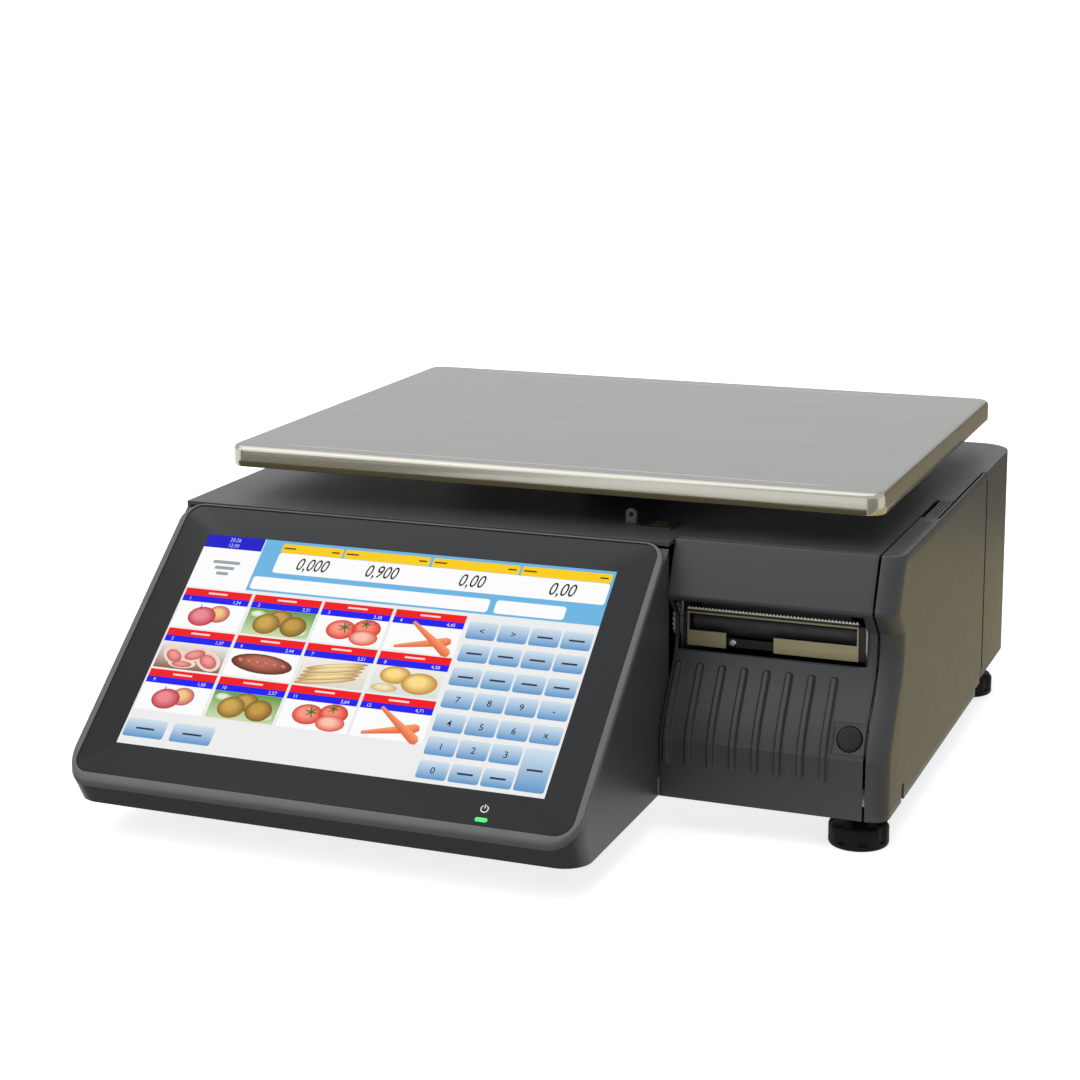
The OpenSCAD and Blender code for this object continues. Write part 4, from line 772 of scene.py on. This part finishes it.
normal /= np.linalg.norm(normal, axis=1)[:, None]
normal *= np.where((normal[:, :1] > 0) & (normal[:, 1:] <= 0.2), -1, 1)
length = np.concatenate([[0], np.cumsum(np.linalg.norm(np.diff(line, axis=0), axis=1))])
rib_from, rib_to = np.interp([-91.5, -42.0], -line[len(deck_rows):, 1], length[len(deck_rows):])
beyond = np.maximum(np.maximum(rib_from - length, length - rib_to), 0)[:, None]
RIB_PROUD, RIB_REACH, RIB_EASE, SIDE_EASE = 2.4, 2.6, 1.6, 0.4
lift = np.zeros((len(line), len(columns)))
for x in RIB_X:
    reach = np.hypot(columns[None, :] - x, beyond)
    share = np.clip((RIB_REACH - reach)/RIB_EASE, 0, 1)
    lift = np.maximum(lift, RIB_PROUD*share*share*(3 - 2*share))
edge = np.clip(np.minimum(columns - BAY_X0, BAY_X1 - columns)/SIDE_EASE, 0, 1)
lift -= SIDE_EASE*(1 - np.sqrt(np.clip(1 - (1 - edge)**2, 0, 1)))[None, :]
front = points(columns, line[:, :1] + lift*normal[:, :1], line[:, 1:] + lift*normal[:, 1:])
mid_x = (columns[1:] + columns[:-1])/2
mid_z = (line[1:, 1] + line[:-1, 1])/2
hole = (mid_x > WINDOW[0]) & (mid_x < WINDOW[1]) & ((mid_z > WINDOW[2]) & (mid_z < WINDOW[3]))[:, None]
hole |= (mid_x > BUTTON_X - BUTTON_HALF) & ((mid_z > recess_z[0]) & (mid_z < recess_z[1]))[:, None]


def at_button(x, u, n):
    """Frame points of button points: x across from its middle, u up the apron, n out of it."""
    return points(BUTTON_X + x, button_at[0] + u*button_up[0] + n*button_out[0],
                  button_at[1] + u*button_up[1] + n*button_out[1])


def thicken(piece, name, thickness):
    """Gives a skin its thickness inwards, in millimetres."""
    made = piece.modifiers.new(name, "SOLIDIFY")
    made.thickness = thickness*MM
    made.offset = -1
    return made


BUTTON_R, WELL_GAP, STEM_HOLE_R = 7.0, 0.25, 4.6
turn = np.linspace(0, 2*np.pi, 64, endpoint=False)
circle = points(np.cos(turn), np.sin(turn))
square = circle/(np.abs(circle).max(1)[:, None]/BUTTON_HALF)
skin_level = np.interp(square[:, 1], along[order], proud[order])
well_r = BUTTON_R + WELL_GAP
recess = np.stack([at_button(*(shape*size).T, n) for shape, size, n in (
    (square, 1, skin_level), (square, 0.985, skin_level), (square, 0.983, -0.45), (square, 0.965, -0.6),
    (circle, well_r + 0.5, -0.6), (circle, well_r + 0.12, -0.72), (circle, well_r, -1.1),
    (circle, well_r, -7.4), (circle, STEM_HOLE_R, -7.4))])
cover = skin("printer_apron", [(front[::-1], False), (recess, True)], dark_plastic, ("printer_front_cover",),
             smooth=34, outward=False, holes={0: hole[::-1]})
# The shell's cut edges take the second finish, near-black and matt: painted shade in the seam to the side door
# and round the window and the recess.
thicken(cover, "shell", 0.7*WALL).material_offset_rim = 1
seam_shade_paint = finish("painted_seam_shade", "dark_plastic", "101011", shade=0.8, patch=50, roughness=(0.75, 0.85), grain=0.1,
                   Specular_IOR_Level=0.05)
cover.data.materials.append(seam_shade_paint)

# ---- Release button ----
# Round black push button, slightly domed, with a stem that runs in the cover's
# guide against a wire spring.
button_rows = [(0, -9.8), (1.9, -9.8), (2, -9.6), (2, -4.2), (6.8, -4.2), (7, -4), (7, -0.2), (6.93, 0.12),
               (6.7, 0.42), (6.3, 0.6), (5.6, 0.68), (3, 0.76), (0, 0.79)]
radius, out = np.array(button_rows).T
button = at_button(radius[:, None]*np.cos(turn), radius[:, None]*np.sin(turn), out[:, None])
button_black = finish("button_black", "black_plastic", "0e0e10", shade=0.8, patch=90, roughness=(0.34, 0.4),
                      grain=0.06, Specular_IOR_Level=0.25)
skin("round_button", [(button, True)], button_black, ("release_button",), "push_button", 32)
WELL_N, UNDER_N, COIL_R, WIRE_R, COILS = -7.0, -4.2, 3.6, 0.35, 2.6
round_coil = np.linspace(0, 2*np.pi*COILS, 90)[:, None]
round_wire = np.linspace(0, 2*np.pi, 12, endpoint=False)[None, :]
wire_size = np.full((90, 1), WIRE_R)
wire_size[[0, -1]] = 0
climb = WELL_N + WIRE_R + (UNDER_N - WELL_N - 2*WIRE_R)*round_coil/round_coil[-1]
coil_arm = COIL_R + wire_size*np.cos(round_wire)
coil = at_button(coil_arm*np.cos(round_coil), coil_arm*np.sin(round_coil), climb + wire_size*np.sin(round_wire))
spring = skin("wire_spring", [(coil, True)], pin_steel, ("button_spring",))
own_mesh(spring)

# ---- Side door ----
# Moulded door over the printer's right side: it carries the casing's front
# profile round the corner and turns on two pins near the rear. The bead on its
# hinge line is painted near-black matt, a painted shade for the seam there, and
# the flat on the deck carries the latch.
CORNER_R, HINGE_X, HINGE_Y, STRIP_Y, BEAD_Z = 10.0, 218.0, 150.75, 15.35, (32.5, 157.5)
door_z = np.concatenate([lower[:, 1], [24.5, 30, 32.5, 32.6, 157.4, 157.5], np.arange(24, 50, 3.5)])
door_z = np.unique(np.round(door_z, 3))[::-1]
door_z = door_z[door_z < Z_DECK - 1.5]
door_front = np.interp(door_z, lower[::-1, 1], lower[::-1, 0])
top_a = np.radians(np.linspace(90, 0, 6))
rim_inset = 1.2*(1 - np.cos(top_a))
rim_z = Z_DECK - 1.2 + 1.2*np.sin(top_a)
rows_z = np.concatenate([rim_z[:-1], door_z])
rows_front = np.concatenate([np.full(5, Y_BROW) + rim_inset[:-1], door_front])
rows_side = X_RIGHT - np.concatenate([rim_inset[:-1], np.zeros(len(door_z))])
corner_a = np.linspace(0, np.pi/2, 13)
steps = np.unique(np.concatenate([
    [-72.4, -72.3, -66.3, -66.2], np.linspace(-66, STRIP_Y, 9),
    [20, 60, 100, 130, 133.75, 133.85, 140, HINGE_Y - 3.9, HINGE_Y - 1, HINGE_Y]]))
door = []
for z, y0, x1 in zip(rows_z, rows_front, rows_side):
    corner_x = x1 - CORNER_R + CORNER_R*np.sin(corner_a)
    corner_y = y0 + CORNER_R - CORNER_R*np.cos(corner_a)
    first = np.array([[X_SEAM + 0.55, y0 + 0.5], [X_SEAM + 0.7, y0 + 0.14], [X_SEAM + 1.05, y0]])
    begin = y0 + CORNER_R
    side = np.maximum(steps, begin + 0.02*np.arange(1, len(steps) + 1))
    if z > BEAD_Z[1] - 0.05 or z < BEAD_Z[0] + 0.05:
        side = np.minimum(side, HINGE_Y - 3.9)
    plan = np.concatenate([first, points(corner_x, corner_y), points(x1, side)])
    door.append(points(plan[:, 0], plan[:, 1], z))
door = np.stack(door)
bottom = np.full(door.shape[1], Z_LOW)
plan_y = door[-1, :, 1]
on_side = np.arange(len(plan_y)) >= 16
bottom[on_side & (plan_y > 133.8)] = 24.5
bottom[on_side & (plan_y > -72.35) & (plan_y < -66.25)] = 30
door[..., 2] = np.maximum(door[..., 2], bottom)
strip_columns = int(np.sum(door[0, :, 1] <= STRIP_Y + 0.01))
outer_edge = door[0, :strip_columns]
inner_edge = outer_edge.copy()
inner_edge[:, 0] = X_SEAM + 0.55
fan = np.linspace(0, 1, 17)
inner_edge[:17, 1] = outer_edge[0, 1] + fan*(outer_edge[16, 1] - outer_edge[0, 1])
door_piece = skin("door_shell", [(np.stack([outer_edge, inner_edge]), False), (door[::-1], False)],
                  dark_plastic, ("side_door",), "side_door", 34, outward=False)
thicken(door_piece, "shell", WALL)
bead_low, bead_high = BEAD_Z
bead = turned([(0, bead_low), (2.3, bead_low), (2.7, bead_low + 0.4), (2.7, bead_high - 0.4), (2.3, bead_high),
               (0, bead_high)], (HINGE_X, HINGE_Y), 28)
# The bead is near-black matt as painted shade for the door's rear seam.
skin("door_bead", [(bead, True)], seam_shade_paint, body="side_door")
shelf_x, shelf_y, shelf_z = (208.5, 219.4), (10.75, 61.05), (158, 160)
half = ((shelf_x[1] - shelf_x[0])/2, (shelf_y[1] - shelf_y[0])/2)
flat = round_outline(*half, [(0.8, 0.8)]*4, 5)
eased = round_outline(half[0] - 0.3, half[1] - 0.3, [(0.8, 0.8)]*4, 5)
rows = [points(plan[:, 0] + (shelf_x[0] + shelf_x[1])/2, plan[:, 1] + (shelf_y[0] + shelf_y[1])/2, level)
        for plan, level in ((eased*0, shelf_z[0]), (eased, shelf_z[0]), (flat, shelf_z[0] + 0.3),
                            (flat, shelf_z[1] - 0.3), (eased, shelf_z[1]), (eased*0, shelf_z[1]))]
skin("latch_shelf", [(np.stack(rows), True)], dark_plastic, body="side_door")
recast("door_latch", dark_plastic, 0.25, "door_latch")

# ---- Weighing pan ----
# Pressed stainless tray with a turned-down rim: brushed on top, polished round
# the rim, with a shallow pressed step behind the front and rear edges.
PAN_W, PAN_D, PAN_Y, PAN_R, PAN_LOW, PAN_TOP, PAN_SHEET = 410.5, 306.0, 86.25, 10.0, 182.0, 195.0, 1.2
FOLD_R, STEP_FROM, STEP_TO, STEP_HALF = 3.0, 11, 12.5, 171.2
corner_rows = PAN_R*(1 - np.cos(np.radians(np.arange(0, 91, 6))))
groove_rows = np.array([11, 11.2, 11.45, 12.05, 12.3, 12.5])
near = np.unique(np.concatenate([corner_rows, groove_rows, [14, 20]]))
row_d = np.concatenate([near, np.linspace(26, PAN_D - 26, 24), (PAN_D - near)[::-1]])
edge_d = np.minimum(row_d, PAN_D - row_d)
corner_in = PAN_R - np.sqrt(np.clip(PAN_R**2 - (PAN_R - edge_d)**2, 0, None))
half_x = PAN_W/2 - np.where(edge_d < PAN_R, corner_in, 0)
side_d = np.array([0, 0.05, 0.18, 0.4, 0.75, 1.2, 1.8, 2.4, 3, 4, 7, 11])
middle = np.linspace(-1, 1, 25)[1:-1]
groove_end = np.array([-171.4, -171, 171, 171.4])
x_rows = []
for h in half_x:
    inner_x = np.sort(np.concatenate([middle*168*h/(PAN_W/2), groove_end*h/(PAN_W/2)]))
    x_rows.append(np.concatenate([-h + side_d, inner_x, (h - side_d)[::-1]]))
x_grid = np.array(x_rows)
y_grid = np.repeat(row_d[:, None], x_grid.shape[1], 1)
qx = np.abs(x_grid) - (PAN_W/2 - PAN_R)
qy = np.abs(y_grid - PAN_D/2) - (PAN_D/2 - PAN_R)
depth = -(np.hypot(np.maximum(qx, 0), np.maximum(qy, 0)) + np.minimum(np.maximum(qx, qy), 0) - PAN_R)
fold = FOLD_R - np.sqrt(np.clip(FOLD_R**2 - (FOLD_R - np.clip(depth, 0, FOLD_R))**2, 0, None))
from_edge = np.minimum(y_grid, PAN_D - y_grid)
groove = np.clip(np.minimum(from_edge - STEP_FROM, STEP_TO - from_edge)/0.45, 0, 1)
groove = 0.5*groove*groove*(3 - 2*groove)*(np.abs(x_grid) < STEP_HALF)
tray = points(x_grid, y_grid + PAN_Y - PAN_D/2, PAN_TOP - fold - groove)
loop = np.concatenate([tray[0, :-1], tray[:-1, -1], tray[-1, :0:-1], tray[:0:-1, 0]])
pull = np.array([0, PAN_Y]) - loop[:, :2]
pull /= np.linalg.norm(pull, axis=1)[:, None]
rim = []
for inset, level in ((0, PAN_TOP - FOLD_R), (0, PAN_LOW + 4), (0, PAN_LOW + 0.5), (0.15, PAN_LOW + 0.15),
                     (0.45, PAN_LOW)):
    rim.append(points(*(loop[:, :2] + pull*inset).T, level))
steel = finish("brushed_steel", "stainless", "8d8d8c", shade=0.95, patch=5, roughness=(0.31, 0.34),
               rough_scale=120, grain=0.1, grain_scale=700, stretch=(0.02, 1, 1), metallic=1)


def band(surface, start, end, colour, roughness, along="Z"):
    """Blends a finish into another colour and roughness between two places along an axis, in millimetres."""
    tree = surface.node_tree
    shader = tree.nodes["Principled BSDF"]
    apart = node(tree, "SeparateXYZ", node(tree, "TexCoord").outputs["Object"])
    share = node(tree, "MapRange", Value=apart.outputs[along], From_Min=start*MM, From_Max=end*MM, To_Min=0.0,
                 To_Max=1.0)
    for socket, value in (("Roughness", (roughness,)*3 + (1,)), ("Base Color", sRGB(colour))):
        blend = node(tree, "Mix", data_type="RGBA", Factor=share.outputs[0],
                     A=shader.inputs[socket].links[0].from_socket, B=value)
        tree.links.new(blend.outputs["Result"], shader.inputs[socket])


# The rim's smoother finish is real polish; its lighter, warmer colour is a painted reflection of the bright
# surroundings.
band(steel, PAN_TOP - 0.35, PAN_TOP - 1.2, "a9a69c", 0.14)
pan = skin("steel_tray", [(tray, False), (np.stack(rim[::-1]), True)], steel, ("weighing_pan",), "pan", 50,
           outward=False)
thicken(pan, "sheet", PAN_SHEET)

# ---- Pan carrier and load cell ----
# Cast cross under the pan on four rubber pads; an aluminium load cell in the
# chassis bends under it, between screwed stops.
cast_black = finish("cast_black", "cast_spider", "2a2a2c", shade=0.8, patch=70, roughness=(0.5, 0.65),
                    grain=0.5)
aluminium = finish("machined_aluminium", "cell_aluminium", "c2c4c8", shade=0.86, roughness=(0.3, 0.42),
                   metallic=1, stretch=(1, 0.1, 1))
rubber = finish("black_rubber", "black_rubber", "18181a", shade=0.8, patch=80, roughness=(0.6, 0.75), grain=0.3)
recast("pan_spider", cast_black, 0.8, "pan_carrier")
recast("pan_pads", rubber, 0.4, "pan_carrier")
recast("load_bracket", aluminium, 0.3, "pan_carrier")
cell = recast("load_cell", aluminium, 0.3)
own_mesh(cell)
recast("cell_base_block", aluminium, 0.3)
recast("overload_stops", pin_steel, 0.2)

# ---- Printer plates and stays ----
# Two pressed side plates and the turned bars between them that carry the
# printer.
recast("printer_left_plate", zinc, 0.2)
recast("printer_right_plate", zinc, 0.2)
recast("frame_stays", pin_steel, 0.2)

# ---- Print head ----
# Aluminium head with its ceramic edge on a green moulded holder that swings on a
# pin.
holder_green = finish("holder_green", "green_plastic", "2f8a52", shade=0.85, patch=60, roughness=(0.3, 0.42),
                      grain=0.1)
head_dark = finish("head_dark", "cell_aluminium", "3c3d40", shade=0.86, roughness=(0.4, 0.5), metallic=1,
                   stretch=(0.1, 1, 1))
recast("print_head", head_dark, 0.2, "print_head")
recast("head_holder", holder_green, 0.3, "print_head")
recast("head_pivot_pin", pin_steel, 0.2)

# ---- Platen, gears and motor ----
# Ground rubber roller on a steel shaft in brass bushes, turned through white
# moulded gears by a black step motor.
roller_rubber = finish("roller_rubber", "platen_rubber", "262229", shade=0.85, patch=90, roughness=(0.5, 0.62),
                       grain=0.2)
gear_white = finish("gear_white", "white_plastic", "e4e3dc", shade=0.93, patch=60, roughness=(0.35, 0.45),
                    grain=0.08)
brass = finish("turned_brass", "brass_part", "c9a35a", shade=0.88, roughness=(0.22, 0.34), metallic=1)
motor_black = finish("motor_black", "motor_black", "202022", shade=0.8, patch=60, roughness=(0.35, 0.5),
                     grain=0.15)
recast("platen_roller", roller_rubber, 0.2, "platen")
recast("platen_shaft", pin_steel, 0.2, "platen")
recast("platen_gear", gear_white, 0, "platen")
recast("platen_bushes", brass, 0.2)
recast("idler_gear", gear_white, 0, "idler")
recast("idler_pin", pin_steel, 0.2)
recast("motor_pinion", brass, 0, "motor_rotor")
recast("stepper_motor", motor_black, 0.3)
recast("motor_plate", zinc, 0.2)

# ---- Tear bar and label guide ----
# Toothed bright strip over the label slot and the yellow-plated guide below it,
# held by a cross-slotted screw.
tear_steel = finish("tear_steel", "tear_steel", "3c3930", shade=0.92, roughness=(0.2, 0.3), metallic=0.3,
                    stretch=(0.1, 1, 1))
band(tear_steel, 122.3, 122.8, "fbfaf4", 0.3)
guide_gold = finish("guide_plate", "guide_plate", "a89f7e", shade=0.82, patch=22, roughness=(0.34, 0.5),
                    metallic=0.6, stretch=(0.08, 1, 1))
# Behind y -76.7 the guide turns dark and rough: painted shade where it runs in under the cover.
band(guide_gold, -77.0, -76.7, "2f2d27", 0.5, "Y")
recast("tear_bar", tear_steel, 0)
recast("exit_guide", guide_gold, 0.12)
recast("guide_screw", pin_steel, 0.15)

# ---- Label reels ----
# Black moulded reels for the labels and for their used backing, the first free
# on a steel spindle, the second driven by a gear.
reel_black = finish("reel_black", "black_plastic", "232325", shade=0.8, patch=40, roughness=(0.38, 0.5),
                    grain=0.15)
recast("supply_spool", reel_black, 0.3, "supply_spool")
recast("supply_spindle", pin_steel, 0.2)
recast("rewind_spool", reel_black, 0.3, "rewinder")
recast("rewind_gear", gear_white, 0, "rewinder")
recast("rewind_bushes", brass, 0.2)

# ---- Electronics ----
# Main board with its parts, screened power supply, radio module and speaker,
# screwed to the chassis.
recast("main_board", board_green, 0)
recast("power_supply", zinc, 0.2)
recast("wireless_module", board_green, 0)
recast("speaker", socket_black, 0.3)
